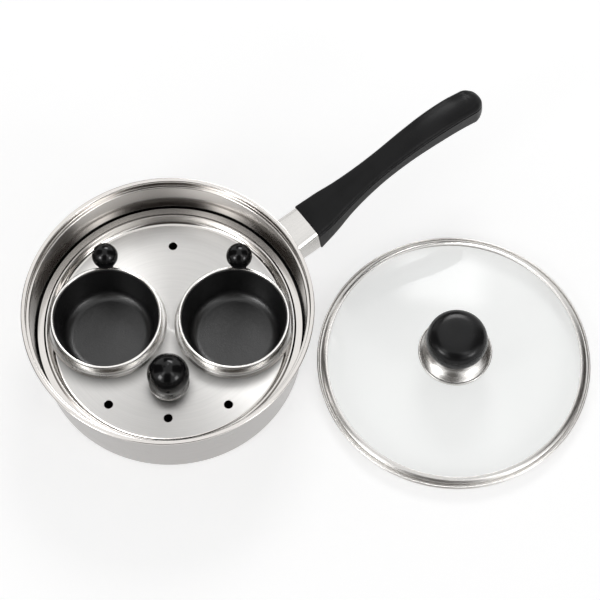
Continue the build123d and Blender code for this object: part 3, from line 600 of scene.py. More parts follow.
def clear_glass(name, colour):
    """Tempered glass that lets the lamps through to what is under it"""
    finish, tree, shader = fresh(name, colour, 0.0, IOR=1.25, Transmission_Weight=1.0)
    faint = clouds(tree, mm(60))
    tree.links.new(spread(tree, faint, 0.0, 0.012), shader.inputs["Roughness"])
    tree.links.new(raised(tree, faint, 2e-5), shader.inputs["Normal"])
    path = tree.nodes.new("ShaderNodeLightPath").outputs
    lamps = maths(tree, "MAXIMUM", path["Is Shadow Ray"], path["Is Diffuse Ray"])
    open_air = wire(tree, "BsdfTransparent", {"Color": (0.95, 0.955, 0.95, 1)})
    surfaced(tree, "MixShader", {0: lamps, 1: shader.outputs[0], 2: open_air})
    return finish


FINISHES = {
    "polished steel": (steel, "polished", dict(
        roughness=0.12, lines=round_lines(mm(0.5)), flow=0.3, contrast=0.015, cut=1e-7,
        wear=0.02)),
    # The inner wall's painted shade: darker down towards the plate, and darker patches at its left
    # and right sides
    "inner wall steel": (steel, "polished", dict(
        roughness=0.14, lines=round_lines(mm(0.6)), flow=0.3, contrast=0.015, cut=1e-7,
        wear=0.03, painted_shades=(
            painted_shade_above(mm(31), (*mm(31, 34), 0.1), (*mm(32, 60), 0.35)),
            painted_shade_round(*mm(79, -6, 8, 24), 0.1)))),
    "satin steel": (steel, "satin", dict(
        roughness=0.30, lines=round_lines(mm(0.35)), coarse=round_lines(mm(1.6)), flow=0.6,
        contrast=0.04)),
    # The plate's painted shade: darker round each cup, most in front of it, on its upper faces
    # only, standing in for the reflection of the dark cup walls
    "turned steel": (steel, "turned", dict(
        roughness=0.36, lines=round_lines(mm(0.45), 2.0), coarse=round_lines(mm(1.8), 0.9),
        flow=0.75, contrast=0.032, cut=1.2e-6,
        painted_shades=(painted_shade_round(*mm(37.6, -1.2, 29.5, 40.5), 0.36, mm(26.5)),))),
    "collar steel": (steel, "turned", dict(
        roughness=0.3, lines=round_lines(mm(0.45)), contrast=0.02, cut=5e-7)),
    # Darker steel for the dish under the plate's knob: painted shade for the ball's reflection
    "knob dish steel": (steel, "dish", dict(
        roughness=0.28, lines=round_lines(mm(0.3)), contrast=0.02, cut=3e-7, wear=0.02)),
    "cup steel": (steel, "cup", dict(
        roughness=0.18, lines=round_lines(mm(0.4)), contrast=0.015, cut=2e-7, flow=0.3,
        wear=0.02)),
    "brushed steel": (steel, "bright", dict(
        roughness=0.25, lines=round_lines(mm(0.25)), contrast=0.015, cut=3e-7, flow=0.4,
        wear=0.02)),
    "ferrule steel": (steel, "bright", dict(
        roughness=0.22, lines=straight_lines(*mm(0.4, 9)), coarse=straight_lines(*mm(1.5, 20)),
        contrast=0.02, cut=1.5e-6)),
    "pressed steel": (steel, "bright", dict(
        roughness=0.22, lines=lambda tree: clouds(tree, mm(1.2)), contrast=0.03)),
    "aluminium": (steel, "aluminium", dict(roughness=0.42, lines=round_lines(mm(0.6)))),
    "satin black": (moulded, "grip", dict(roughness=0.3, grain=mm(0.45), depth=4e-6, gloss=0.06)),
    "knob black": (moulded, "knob", dict(roughness=0.24, grain=mm(0.45), depth=2e-6, gloss=0.22)),
    "gloss black": (moulded, "gloss", dict(roughness=0.16, grain=mm(2.5), depth=1e-6, gloss=0.28)),
    "gasket rubber": (moulded, "rubber", dict(roughness=0.6, grain=mm(0.5), depth=1e-5)),
    "non-stick lining": (nonstick, "lining", {}),
    "lid glass": (clear_glass, "glass", {}),
}


def finish_of(name):
    """The finish with this name, made on first use from its colour in the settings"""
    if name in bpy.data.materials:
        return bpy.data.materials[name]
    maker, colour, details = FINISHES[name]
    return maker(name, getattr(bpy.context.scene.poacher.colours, colour), **details)


# Shapes shared by several pieces


def wall_radius(pan, height):
    """Outer radius of the pan's tapering wall at a height"""
    share = (height - pan.base) / (pan.ledge_height - pan.sheet - pan.base)
    return pan.foot + (pan.ledge + pan.sheet - pan.foot) * share


def cup_radius(cups, height):
    """Inner radius of a cup's wall at a height"""
    share = (height - cups.floor) / (cups.rim_height - cups.floor)
    return cups.foot + (cups.mouth - cups.foot) * share


def cup_centre(plate, side):
    """Axis of the left (-1) or right (1) cup"""
    return side * plate.cup_across, plate.cup_back


def dome_height(lid, radius):
    """Height of the top of the glass at a distance from the lid's axis"""
    arc = (lid.glass**2 + lid.rise**2) / (2 * lid.rise)
    edge = lid.glass_edge + lid.glass_thick
    return edge + lid.rise - arc + math.sqrt(arc**2 - radius**2)


def handle_frame(pan, handle):
    """Frame of the handle: X out along it, Z its upper side"""
    turn = Matrix.Rotation(handle.direction, 4, "Z")
    reach = Matrix.Translation((wall_radius(pan, handle.height), 0, handle.height))
    return turn @ reach @ Matrix.Rotation(-handle.slope, 4, "Y")


def ball_knob(name, at, foot, neck, ball, rise, crown=0.0):
    """A ball on a tapered neck, with a fine lip where they meet, and a flat crown if asked"""
    join = -math.radians(35)
    shoulder = (ball * math.cos(join), rise + ball * math.sin(join))
    lip = mm(0.28)
    neck_side = rounded([
        (0, 0, 0), (neck, 0, mm(0.25)), (shoulder[0] + lip, shoulder[1] - lip, lip * 0.7),
        (*shoulder, 0),
    ])
    end = math.acos(crown / ball)
    steps = 40
    turns = [join + (end - join) * k / steps for k in range(steps + 1)]
    side = [Vector((ball * math.cos(turn), rise + ball * math.sin(turn))) for turn in turns]
    if crown:
        top = rise + math.sqrt(ball**2 - crown**2)
        side = [p for p in side if p.y < top - mm(0.22)]
        cap = [side[-1], (crown * 1.02, top - mm(0.06)), (crown * 0.7, top), (0, top)]
        side += flowing(cap, 5)[1:]
    else:
        side[-1] = Vector((0, rise + ball))
    outline = [(p[0], p[1] + foot) for p in neck_side[:-1] + side]
    return spun(name, outline, at, turns=96)


def drill(at, radius, low, high, flare, turns):
    """A cutter for a hole from below low to above high, opened by (outward, upward) offsets"""
    mouth = [(radius + out, high + up) for out, up in flare]
    outline = [(0, low - CLEAR), (radius, low - CLEAR), *mouth]
    outline += [(mouth[-1][0], high + CLEAR), (0, high + CLEAR)]
    return spun("drill", outline, at, turns=turns)


# Handle

# Share of the grip's length, and its half width, top and underside there as shares
GRIP_SHAPE = (
    (0.0, 1.0, 1.0, -1.0),
    (0.1, 0.91, 1.173, -0.628),
    (0.2, 0.757, 1.318, -0.242),
    (0.32, 0.638, 1.538, 0.044),
    (0.44, 0.606, 1.719, 0.269),
    (0.58, 0.642, 1.879, 0.388),
    (0.71, 0.69, 1.884, 0.303),
    (0.84, 0.709, 1.678, 0.04),
    (0.93, 0.69, 1.37, -0.356),
)


def cross_section(half, top, low, soft_top, soft_low, crown=0.0, groove=0.0, depth=0.0):
    """One cross-section as (sideways, up) points, from its top round one side and back"""
    tall = top - low
    soft_top = min(soft_top, half * 0.6, tall * 0.38)
    soft_low = min(soft_low, half * 0.7, tall * 0.42)
    quarter = [math.pi / 2 * k / 8 for k in range(9)]
    edge = top - crown - soft_top
    low_edge = low + soft_low
    right = [(k / 6 * (half - soft_top), top - crown * k / 6 * k / 6) for k in range(7)]
    for turn in quarter[1:]:
        across = half - soft_top + soft_top * math.sin(turn)
        right.append((across, edge + soft_top * math.cos(turn)))
    for share, inset in ((0.12, 0.0), (0.3, 0.65), (0.5, 1.0), (0.7, 0.65), (0.88, 0.0)):
        right.append((half - depth * inset, edge - groove * share))
    for k in range(1, 4):
        right.append((half, edge - groove + (low_edge - edge + groove) * k / 4))
    for turn in quarter:
        across = half - soft_low + soft_low * math.cos(turn)
        right.append((across, low_edge - soft_low * math.sin(turn)))
    for k in range(1, 7):
        right.append(((half - soft_low) * (1 - k / 6), low))
    return right + [(-across, up) for across, up in reversed(right[1:-1])]


def grip_shape(share):
    """Half width, top and underside shares at a share of the grip's length"""
    last = len(GRIP_SHAPE) - 1
    i = next((i for i in range(last) if share <= GRIP_SHAPE[i + 1][0]), last - 1)
    slopes = []
    for j in (i, i + 1):
        a, b = GRIP_SHAPE[max(j - 1, 0)], GRIP_SHAPE[min(j + 1, last)]
        slopes.append([(v - u) / (b[0] - a[0]) for u, v in zip(a[1:], b[1:])])
    (start, *low), (stop, *high) = GRIP_SHAPE[i:i + 2]
    gap = stop - start
    t = (share - start) / gap
    return [
        (2 * t**3 - 3 * t**2 + 1) * p + (t**3 - 2 * t**2 + t) * (m * gap)
        + (3 * t**2 - 2 * t**3) * q + (t**3 - t**2) * (n * gap)
        for p, q, m, n in zip(low, high, *slopes)
    ]


def grip_rings(handle):
    """Cross-sections of the grip from its spigot to its rounded tail"""
    rings = []

    def add(x, half, top, low, crown, groove=1.0, depth=1.0, softer=0.0):
        points = cross_section(
            half, top, low, handle.edge_top + softer, handle.edge_low + softer, crown,
            handle.groove * groove, handle.groove_depth * depth)
        rings.append([(x, *point) for point in points])

    root = handle.ferrule_length
    half, tall = (
        across / 2 - handle.ferrule_sheet - mm(0.15)
        for across in (handle.ferrule_width, handle.ferrule_height))
    soft, lift = mm(2.4, 0.57)
    spigot = cross_section(half, tall, lift - tall, soft, soft, groove=mm(0.5))
    for x in (root - mm(4), root):
        rings.append([(x, *point) for point in spigot])
    for inset, x in (mm(0.5, 0.0), mm(0.2, 0.08), mm(0.05, 0.25)):
        add(root + x, handle.grip_half - inset, handle.grip_top - inset,
            inset - handle.grip_low, mm(0.1), depth=0.4)
    last = GRIP_SHAPE[-1][0]
    bevel = mm(0.6)
    count = 72
    for k in range(count + 1):
        share = last * k / count
        wide, high, low = grip_shape(share)
        settle = min(1.0, share / 0.06)
        add(root + bevel + (handle.grip_length - bevel) * share, wide * handle.grip_half,
            high * handle.grip_top, low * handle.grip_low, mm(0.1 + 0.7 * settle),
            depth=0.4 + 0.6 * settle)
    wide, high, low = grip_shape(last)
    half, top, bottom = wide * handle.grip_half, high * handle.grip_top, low * handle.grip_low
    middle, tall = (top + bottom) / 2, (top - bottom) / 2
    tail_middle = (0.87 * handle.grip_top + 0.1 * handle.grip_low) / 2
    tail = handle.grip_length * (1 - last)
    for k in range(1, 19):
        turn = math.pi / 2 * k / 18.5
        close, reach = math.cos(turn), math.sin(turn)
        level = middle + (tail_middle - middle) * reach**2
        rise = tall * close**0.8
        add(root + handle.grip_length * last + tail * reach, half * close, level + rise,
            level - rise, mm(0.8) * close, close, close, mm(2) * reach)
    return rings


def ferrule_rings(pan, handle, place):
    """Cross-sections of the sleeve: outer and inner skins, cut to the wall at one end"""
    def at_wall(across, up):
        reach = 0.0
        for _ in range(12):
            spot = place @ Vector((reach, across, up))
            reach -= math.hypot(spot.x, spot.y) - wall_radius(pan, spot.z) - mm(0.3)
        return reach, across, up

    def skin(inset, wide, tall):
        soft = handle.ferrule_soft - inset
        top = handle.ferrule_height / 2
        return cross_section(
            wide / 2 - inset, top - inset, top - tall + inset, soft, soft,
            crown=mm(0.35), groove=mm(0.5))

    root = handle.root_width, handle.root_height
    mouth = handle.ferrule_width, handle.ferrule_height
    end = handle.ferrule_length
    edge = mm(0.25)
    start = [at_wall(*spot) for spot in skin(0.0, *root)]
    finish = [(end, *spot) for spot in skin(0.0, *mouth)]
    rows = [[at_wall(*spot) for spot in skin(handle.ferrule_sheet, *root)], start]
    for share in (0.02, 0.5, 0.97, 1 - edge / end):
        rows.append([Vector(p).lerp(Vector(q), share) for p, q in zip(start, finish)])
    for inset in (edge, handle.ferrule_sheet):
        rows.append([(end, *spot) for spot in skin(inset, *mouth)])
    return rows


# Lid

# Radius at which the flared base stands on the lid's glass
FLARE_SEAT = mm(20.1)
# Side of the lid's knob as radius and height, in millimetres, for a knob of KNOB_SIZE
KNOB_SIZE = mm(18.1, 18.6)
LID_KNOB = (
    (12.6, 0.0), (14.6, 0.9), (16.8, 3.4), (17.9, 6.2), (18.1, 8.6), (17.7, 11.6), (16.7, 14.3),
    (15.1, 16.3), (12.9, 17.6), (10.4, 18.25), (7.6, 18.5), (4.0, 18.6), (0.0, 18.6),
)


def glass_outline(lid):
    """Outline of the glass, from its hole over the dome to its softened edge and back"""
    hole, soft = mm(4.2, 0.6)
    rim = lid.glass_edge + lid.glass_thick
    half = lid.glass / 2
    upper = bow((0, rim + lid.rise), (half, dome_height(lid, half)), (lid.glass, rim), 40)
    lower = [(r, z - lid.glass_thick) for r, z in reversed(upper)]
    upper = [p for p in upper if p[0] > hole]
    lower = [p for p in lower if p[0] > hole]
    high, low = upper[-1][1] + soft * 0.28, lower[0][1] + soft * 0.28
    upper[-1] = (lid.glass - soft, high)
    lower[0] = (lid.glass - soft, low)
    top = dome_height(lid, hole)
    return [
        (hole, top - lid.glass_thick), (hole, top), *upper,
        (lid.glass - soft * 0.3, high - soft * 0.32), (lid.glass, high - soft),
        (lid.glass, low + soft), (lid.glass - soft * 0.3, low + soft * 0.3), *lower,
    ]


def rim_outline(lid):
    """Outline of the folded rim"""
    pocket = lid.glass + mm(0.1)
    fold_r, tuck_r = mm(75.4, 76.6)
    groove, groove_soft = lid.flange + mm(1.0), mm(0.3)
    lip_top, lip_in, lip_soft = lid.flange + mm(2.2), lid.radius - mm(1.5), mm(0.65)
    fold_out = lid.glass_edge + lid.glass_thick + mm(0.1)
    fold_in = dome_height(lid, fold_r) + mm(0.1)
    crown = ((lid.skirt + fold_r) / 2, (fold_out + fold_in) / 2 + mm(0.95))
    tuck = lid.glass_edge - mm(0.1)
    skirt_in = lid.skirt - lid.sheet
    return rounded([
        (skirt_in, 0, mm(0.15)), (lid.skirt, 0, mm(0.25)), (lid.skirt, lid.flange, groove_soft),
        (lid.radius, lid.flange, lip_soft), (lid.radius, lip_top, lip_soft),
        (lip_in, lip_top, lip_soft), (lip_in, groove, groove_soft),
        (lid.skirt, groove, groove_soft), (lid.skirt, fold_out + mm(0.3), mm(0.5)),
        (*crown, mm(4.0)), (fold_r, fold_in + mm(0.45), mm(0.22)), (fold_r, fold_in, 0),
        (pocket, fold_out, 0), (pocket, tuck, 0), (tuck_r, tuck, 0), (tuck_r, tuck - lid.sheet, 0),
        (skirt_in, tuck - lid.sheet, 0),
    ])


def flare_outline(lid, foot, top):
    """Outline of the flared base, hollow under its dipping skin"""
    step = foot + mm(2.3)
    skin, bore_r, top_r, dip_r, shoulder_r = mm(0.9, 6.3, 13.4, 17.2, 20.8)
    dip = (step + top) / 2 - mm(1.3)
    bead, bead_soft = foot + mm(2.8), mm(0.48)
    edge = rounded([
        (FLARE_SEAT, foot, 0), (lid.ring, foot, mm(0.8)), (lid.ring, bead, bead_soft),
        (shoulder_r, bead, bead_soft), (shoulder_r, step, 0),
    ])
    return [
        (bore_r, top - skin),
        *bow(
            (top_r - skin, top - skin), (dip_r - skin, dip - skin),
            (FLARE_SEAT, step - skin), 20),
        *edge,
        *bow((shoulder_r, step), (dip_r, dip), (top_r, top), 28)[1:],
        (bore_r, top),
    ]


def knob_outline(lid, stem, foot):
    """Outline of the knob, with its stem down through the base and the screw's bore"""
    wide, tall = lid.knob / KNOB_SIZE[0], lid.knob_height / KNOB_SIZE[1]
    side = flowing([(wide * mm(r), tall * mm(z)) for r, z in LID_KNOB], 7)
    bore_r, stem_r = mm(2.05, 5.9)
    bore_top = stem + mm(16)
    outline = [(0, bore_top), (bore_r, bore_top), (bore_r, stem), (stem_r, stem)]
    outline += [(stem_r, foot), (mm(12.0), foot), (mm(12.5), foot + mm(0.1))]
    outline += [(p[0], p[1] + foot) for p in side[2:-1]]
    return outline + [(0, side[-1][1] + foot)]


# Studio

# Lamp: name, azimuth, elevation, distance, width, height, its setting, glow of its cloth
LAMPS = (
    ("soft box back", 82, 42, 1.4, 0.55, 0.45, "key", 10.0),
    ("soft box left", 218.6, 32, 1.3, 0.42, 0.42, "side", 12.0),
    ("soft box right", 322.3, 25.5, 1.3, 0.42, 0.42, "side", 9.0),
)
# Card: name, azimuth, elevation, distance, width, height, colour, width of its soft edge
PALE, DARK = (3.4,) * 3, (0.036, 0.030, 0.025)
CARDS = (
    ("strip left", 218, 56, 1.35, 0.42, 1.0, PALE, 0.42),
    ("strip right", 318, 56, 1.35, 0.42, 1.0, PALE, 0.42),
    ("overhead cloth", 100, 66, 1.8, 1.3, 1.0, (1.2,) * 3, 0.3),
    ("dark card front", 267, 44, 2.0, 1.7, 2.6, DARK, 0.2),
    ("dark card left", 165, 33, 2.0, 1.74, 3.3, DARK, 0.15),
    ("dark card right", 15, 33, 2.0, 1.74, 3.3, DARK, 0.15),
    ("dark card back", 92, 30, 2.0, 1.5, 1.5, DARK, 0.15),
    ("dark card low", 268, 4, 2.2, 3.8, 0.9, DARK, 0.15),
)


def seen(tree):
    """1 for what the camera, a reflection or the glass shows, and 0 for light"""
    path = tree.nodes.new("ShaderNodeLightPath").outputs
    both = maths(tree, "MAXIMUM", path["Is Camera Ray"], path["Is Glossy Ray"])
    return maths(tree, "MAXIMUM", both, path["Is Transmission Ray"])


def floor_piece(studio, colours):
    """A pale floor that shows white and keeps the object's shadow"""
    mesh = bmesh.new()
    bmesh.ops.create_grid(mesh, x_segments=2, y_segments=2, size=3.0)
    piece = made_piece("studio_floor", mesh, Matrix.Translation((0, 0, -mm(0.1))))
    finish, tree, shader = fresh("studio floor", colours.floor, 0.9, Specular_IOR_Level=0.0)
    fill = maths(tree, "MULTIPLY", seen(tree), studio.floor_fill)
    glow = wire(tree, "Emission", {"Color": WHITE, "Strength": fill})
    surfaced(tree, "AddShader", {0: shader.outputs[0], 1: glow})
    piece.data.materials.append(finish)


def facing(azimuth, elevation, distance):
    """Place of a lamp or a card at this distance from the object, facing it"""
    around, up = math.radians(azimuth), math.radians(elevation)
    flat = math.cos(up)
    way = Vector((math.cos(around) * flat, math.sin(around) * flat, math.sin(up)))
    turn = way.to_track_quat("Z", "Y").to_matrix().to_4x4()
    return Matrix.Translation(AIM + way * distance) @ turn


def soft_box(name, azimuth, elevation, distance, wide, tall, brightness):
    """An area lamp, which no reflection and no glass shows"""
    lamp = bpy.data.lights.new(name, "AREA")
    lamp.shape = "RECTANGLE"
    lamp.size, lamp.size_y = wide, tall
    lamp.energy = brightness * math.pi * wide * tall
    holder = bpy.data.objects.new(name, lamp)
    holder.matrix_world = facing(azimuth, elevation, distance)
    holder.visible_glossy = holder.visible_transmission = False
    bpy.context.scene.collection.objects.link(holder)


def card(name, azimuth, elevation, distance, wide, tall, colour, feather):
    """A glowing or dark card with soft edges, which only reflections show"""
    mesh = bmesh.new()
    bmesh.ops.create_grid(mesh, x_segments=1, y_segments=1, size=0.5)
    place = facing(azimuth, elevation, distance)
    piece = made_piece(name, mesh, place @ Matrix.Diagonal((wide, tall, 1, 1)))
    finish = bpy.data.materials.new(name)
    finish.use_nodes = True
    tree = finish.node_tree
    x, y, _ = split_place(tree)
    cover = 1.0
    for across in (x, y):
        inward = maths(tree, "SUBTRACT", 0.5, maths(tree, "ABSOLUTE", across))
        soft = spread(tree, inward, 0.0, 1.0, 0.0, feather, interpolation_type="SMOOTHSTEP")
        cover = maths(tree, "MULTIPLY", cover, soft)
    glow = wire(tree, "Emission", {"Color": (*colour, 1), "Strength": 1.0})
    open_air = wire(tree, "BsdfTransparent")
    surfaced(tree, "MixShader", {0: cover, 1: open_air, 2: glow})
    piece.data.materials.append(finish)
    for ray in ("camera", "diffuse", "shadow", "transmission"):
        setattr(piece, f"visible_{ray}", False)


def surroundings(studio):
    """White where it is seen, and a softer light on the object"""
    world = bpy.data.worlds.new("studio surroundings")
    world.use_nodes = True
    tree = world.node_tree
    light = tree.nodes["Background"]
    light.inputs["Strength"].default_value = studio.ambient
    light.inputs["Color"].default_value = WHITE
    white = wire(tree, "Background", {"Color": WHITE, "Strength": 1.0})
    surfaced(tree, "MixShader", {0: seen(tree), 1: light.outputs[0], 2: white}, "World")
    return world


# Operators

# Places of the steam vents, in millimetres
VENTS = ((0, 55.0), (0, -56.4), (-34.9, -47.9), (34.9, -47.9))


class POACHER_OT_pan(bpy.types.Operator):
    """Spins the pan's shell, with its lid ledge and rolled lip, and the cap of its base, and
    finishes the base's core
    """

    bl_idname = "poacher.pan"
    bl_label = "Pan"
    bl_options = {"REGISTER", "UNDO"}

    def execute(self, context):
        pan = context.scene.poacher.pan
        under = pan.ledge_height - pan.sheet
        seat_out = pan.seat + pan.sheet
        low_lip = pan.height - pan.lip_thick
        floor = pan.base + pan.sheet
        rest_foot = pan.rest - mm(3.2)
        lip_soft = mm(0.5)

        def inside(height):
            return wall_radius(pan, height) - pan.sheet

        shell = rounded([
            (0, pan.base, 0), (pan.foot, pan.base, pan.heel), (wall_radius(pan, under), under, 0),
            (seat_out, under, mm(0.6)), (seat_out, low_lip, mm(0.2)), (pan.lip, low_lip, lip_soft),
            (pan.lip, pan.height, lip_soft), (pan.seat, pan.height, lip_soft),
            (pan.seat, pan.ledge_height, mm(0.3)), (pan.ledge, pan.ledge_height, mm(0.6)),
            (inside(pan.rest), pan.rest, 0), (pan.rest_radius, pan.rest, mm(0.3)),
            (pan.rest_radius, pan.rest - mm(1.2), mm(0.8)),
            (inside(rest_foot), rest_foot, mm(0.6)), (inside(floor), floor, pan.heel - pan.sheet),
            (0, floor, 0),
        ])
        piece = spun("pan_shell", shell)
        settled(
            piece, "polished steel", "pan", "polished_steel", "pan_body",
            more=("satin steel", "inner wall steel"))
        for face in piece.data.polygons:
            middle = face.center
            reach = math.hypot(middle.x, middle.y)
            outer = reach > wall_radius(pan, middle.z) - pan.sheet / 2 and middle.z < under
            if outer or middle.z < pan.base + pan.sheet / 2:
                face.material_index = 1
            # The inner wall below the ledge takes the steel with painted shade
            elif middle.z < pan.ledge_height - mm(0.3):
                face.material_index = 2

        cap_in = pan.cap - pan.cap_sheet
        cap = rounded([
            (0, 0, 0), (pan.cap, 0, mm(0.5)), (pan.cap, pan.base, 0), (cap_in, pan.base, 0),
            (cap_in, pan.cap_sheet, 0), (0, pan.cap_sheet, 0),
        ])
        piece = spun("pan_base_cap", cap)
        settled(piece, "satin steel", "pan", "base_steel", "base_cap")
        refinished("aluminium", "base_core")
        return {"FINISHED"}


class POACHER_OT_handle(bpy.types.Operator):
    """Makes the steel ferrule and the grooved grip, and finishes the bracket and the screw inside
    them
    """

    bl_idname = "poacher.handle"
    bl_label = "Handle"
    bl_options = {"REGISTER", "UNDO"}

    def execute(self, context):
        pan, handle = context.scene.poacher.pan, context.scene.poacher.handle
        place = handle_frame(pan, handle)
        sleeve = lofted("handle_sleeve", ferrule_rings(pan, handle, place), place, looped=True)
        settled(sleeve, "ferrule steel", "pan", "ferrule_steel", "handle_ferrule")

        grip = lofted("handle_moulded_grip", grip_rings(handle), place)
        screw_x = handle.ferrule_length + handle.screw_place
        bore = spun("bore", [
            mm(0, -40), mm(4.6, -40), mm(4.6, -3.7), mm(4.1, -3.7), mm(2.3, -3.7), mm(2.3, 0),
            (0, 0),
        ], turns=64)
        bore.matrix_world = place @ Matrix.Translation((screw_x, 0, 0))
        half, tall = mm(5.65, 2.65)
        corners = [(half, tall), (half, -tall), (-half, -tall), (-half, tall)]
        ends = (mm(10), screw_x + mm(7.1))
        socket = lofted("socket", [[(x, *corner) for corner in corners] for x in ends], place)
        worked(grip, "DIFFERENCE", bore, socket)
        settled(grip, "satin black", "pan", "satin_black", "handle_grip")
        refinished("pressed steel", "handle_bracket", "handle_screw")
        return {"FINISHED"}


class POACHER_OT_plate(bpy.types.Operator):
    """Presses the poaching plate, with step, bead, collars and vents, and sets its knob on it"""

    bl_idname = "poacher.plate"
    bl_label = "Poaching plate"
    bl_options = {"REGISTER", "UNDO"}

    def execute(self, context):
        plate, pan = context.scene.poacher.plate, context.scene.poacher.pan
        floor = plate.floor
        under = floor - plate.sheet
        top = pan.rest + plate.sheet
        bead_top = top + plate.bead
        soft_bead = plate.bead / 2
        outline = rounded([
            (0, under, 0), (plate.step_low + plate.sheet, under, plate.step_soft + plate.sheet),
            (plate.step_high, pan.rest, 0), (plate.radius, pan.rest, 0),
            (plate.radius, top, mm(0.25)), (plate.step_high + 2 * plate.bead_width, top, mm(0.2)),
            (plate.step_high + plate.bead_width, bead_top, soft_bead),
            (plate.step_high, bead_top, soft_bead), (plate.step_low, floor, plate.step_soft),
            (0, floor, 0),
        ])
        piece = spun("poaching_plate", outline)
        sink = plate.sheet / 2
        lean = (plate.collar_foot - plate.collar_top) * sink / plate.collar
        collar = rounded([
            (0, -sink, 0), (plate.collar_foot + lean, -sink, 0), (plate.collar_foot, 0, 0),
            (plate.collar_top, plate.collar, mm(0.6)), (0, plate.collar, 0),
        ])
        collar = [(r, z + floor) for r, z in collar]
        centres = [cup_centre(plate, side) for side in (-1, 1)]
        collars = [spun("collar", collar, at, turns=192) for at in centres]
        edge = (mm(0, -0.3), mm(0.1, -0.1), mm(0.35, 0.02))
        cutters = [
            drill(at, plate.opening, under, floor + plate.collar, edge, 192) for at in centres]
        knob_at = (0, -plate.knob_front)
        stem = mm(2.25)
        holes = [(plate.vent, mm(*at)) for at in VENTS] + [(stem, knob_at)]
        edge = (mm(0, -0.1), mm(0.15, 0.05))
        cutters += [drill(at, radius, under, floor, edge, 48) for radius, at in holes]
        worked(piece, "UNION", *collars)
        worked(piece, "DIFFERENCE", *cutters)
        settled(
            piece, "turned steel", "plate", "plate_steel", "poacher_plate",
            more=("polished steel", "collar steel"))
        for face in piece.data.polygons:
            x, y, z = face.center
            from_cup = math.hypot(abs(x) - plate.cup_across, y - plate.cup_back)
            # The collars take turned steel without the plate's painted shade
            if from_cup < plate.collar_foot + mm(0.1) and z > floor + mm(0.01):
                face.material_index = 2
            elif math.hypot(x, y) > plate.step_low - plate.step_soft:
                face.material_index = 1

        foot = floor + mm(3.2)
        dish = [(r, floor + z) for r, z in (
            (stem, 0), mm(11.9, 0), mm(11.9, 0.55), mm(11.75, 0.8))]
        dish += bow((mm(11.5), floor + mm(0.9)), (mm(8.95), floor + mm(1.6)), (mm(6.0), foot), 18)
        dish.append((stem, foot))
        # The dish takes the darker steel, painted shade for the ball's reflection
        settled(
            spun("plate_knob_dish", dish, knob_at, turns=128),
            "knob dish steel", "plate", "plate_steel", "plate_knob_collar")
        knob = ball_knob(
            "plate_ball_knob", knob_at, foot, mm(5.6), plate.knob, plate.knob_rise, mm(1.2))
        settled(knob, "gloss black", "plate", "gloss_black", "plate_knob")
        refinished("pressed steel", "plate_knob_washer", "plate_knob_screw")
        return {"FINISHED"}


class POACHER_OT_cups(bpy.types.Operator):
    """Spins the two egg cups and their non-stick linings, and sets a ball knob on each"""

    bl_idname = "poacher.cups"
    bl_label = "Egg cups"
    bl_options = {"REGISTER", "UNDO"}

    def execute(self, context):
        cups, plate = context.scene.poacher.cups, context.scene.poacher.plate
        rest = plate.floor + plate.collar
        flange = rest + mm(0.8)
        flange_r = mm(32.9)
        roll = cups.rim_height - mm(1.8)
        roll_soft = mm(0.6)
        under = cups.floor - cups.sheet

        def outside(height):
            return cup_radius(cups, height) + cups.sheet

        shell = rounded([
            (0, under, 0), (outside(under), under, cups.heel + cups.sheet),
            (outside(rest), rest, 0), (flange_r, rest, 0), (flange_r, flange, mm(0.25)),
            (outside(flange), flange, mm(0.3)), (outside(roll), roll, 0),
            (cups.rim, roll, roll_soft), (cups.rim, cups.rim_height, roll_soft),
            (cups.mouth, cups.rim_height, roll_soft), (cups.foot, cups.floor, cups.heel),
            (0, cups.floor, 0),
        ])
        gap = mm(0.02)
        coat_low = cups.floor + gap
        coat_high = coat_low + cups.coat
        coat_end = cups.rim_height - mm(1.2)
        coat_out = cup_radius(cups, coat_end) - gap
        coat_foot = cups.foot - gap
        coat_heel = cups.heel - gap
        lining = rounded([
            (0, coat_low, 0), (coat_foot, coat_low, coat_heel), (coat_out, coat_end, 0),
            (coat_out - cups.coat, coat_end, mm(0.08)),
            (coat_foot - cups.coat, coat_high, coat_heel - cups.coat), (0, coat_high, 0),
        ])
        foot = cups.rim_height + mm(0.85)
        for side, name, turn in ((-1, "left", cups.left_turn), (1, "right", cups.right_turn)):
            body = f"cup_{name}"
            x, y = cup_centre(plate, side)
            at = (x + side * cups.reach * math.sin(turn), y + cups.reach * math.cos(turn))
            settled(
                spun(f"egg_cup_{name}", shell, (x, y), turns=192),
                "cup steel", body, "cup_steel", f"{body}_shell")
            settled(
                spun(f"egg_cup_{name}_coating", lining, (x, y), turns=192),
                "non-stick lining", body, "nonstick_black", f"{body}_lining")
            settled(
                ball_knob(f"cup_ball_knob_{name}", at, foot, mm(3.4), cups.knob, cups.knob_rise),
                "gloss black", body, "gloss_black", f"{body}_knob")
            refinished("pressed steel", f"{body}_tab", f"{body}_screw")
        return {"FINISHED"}


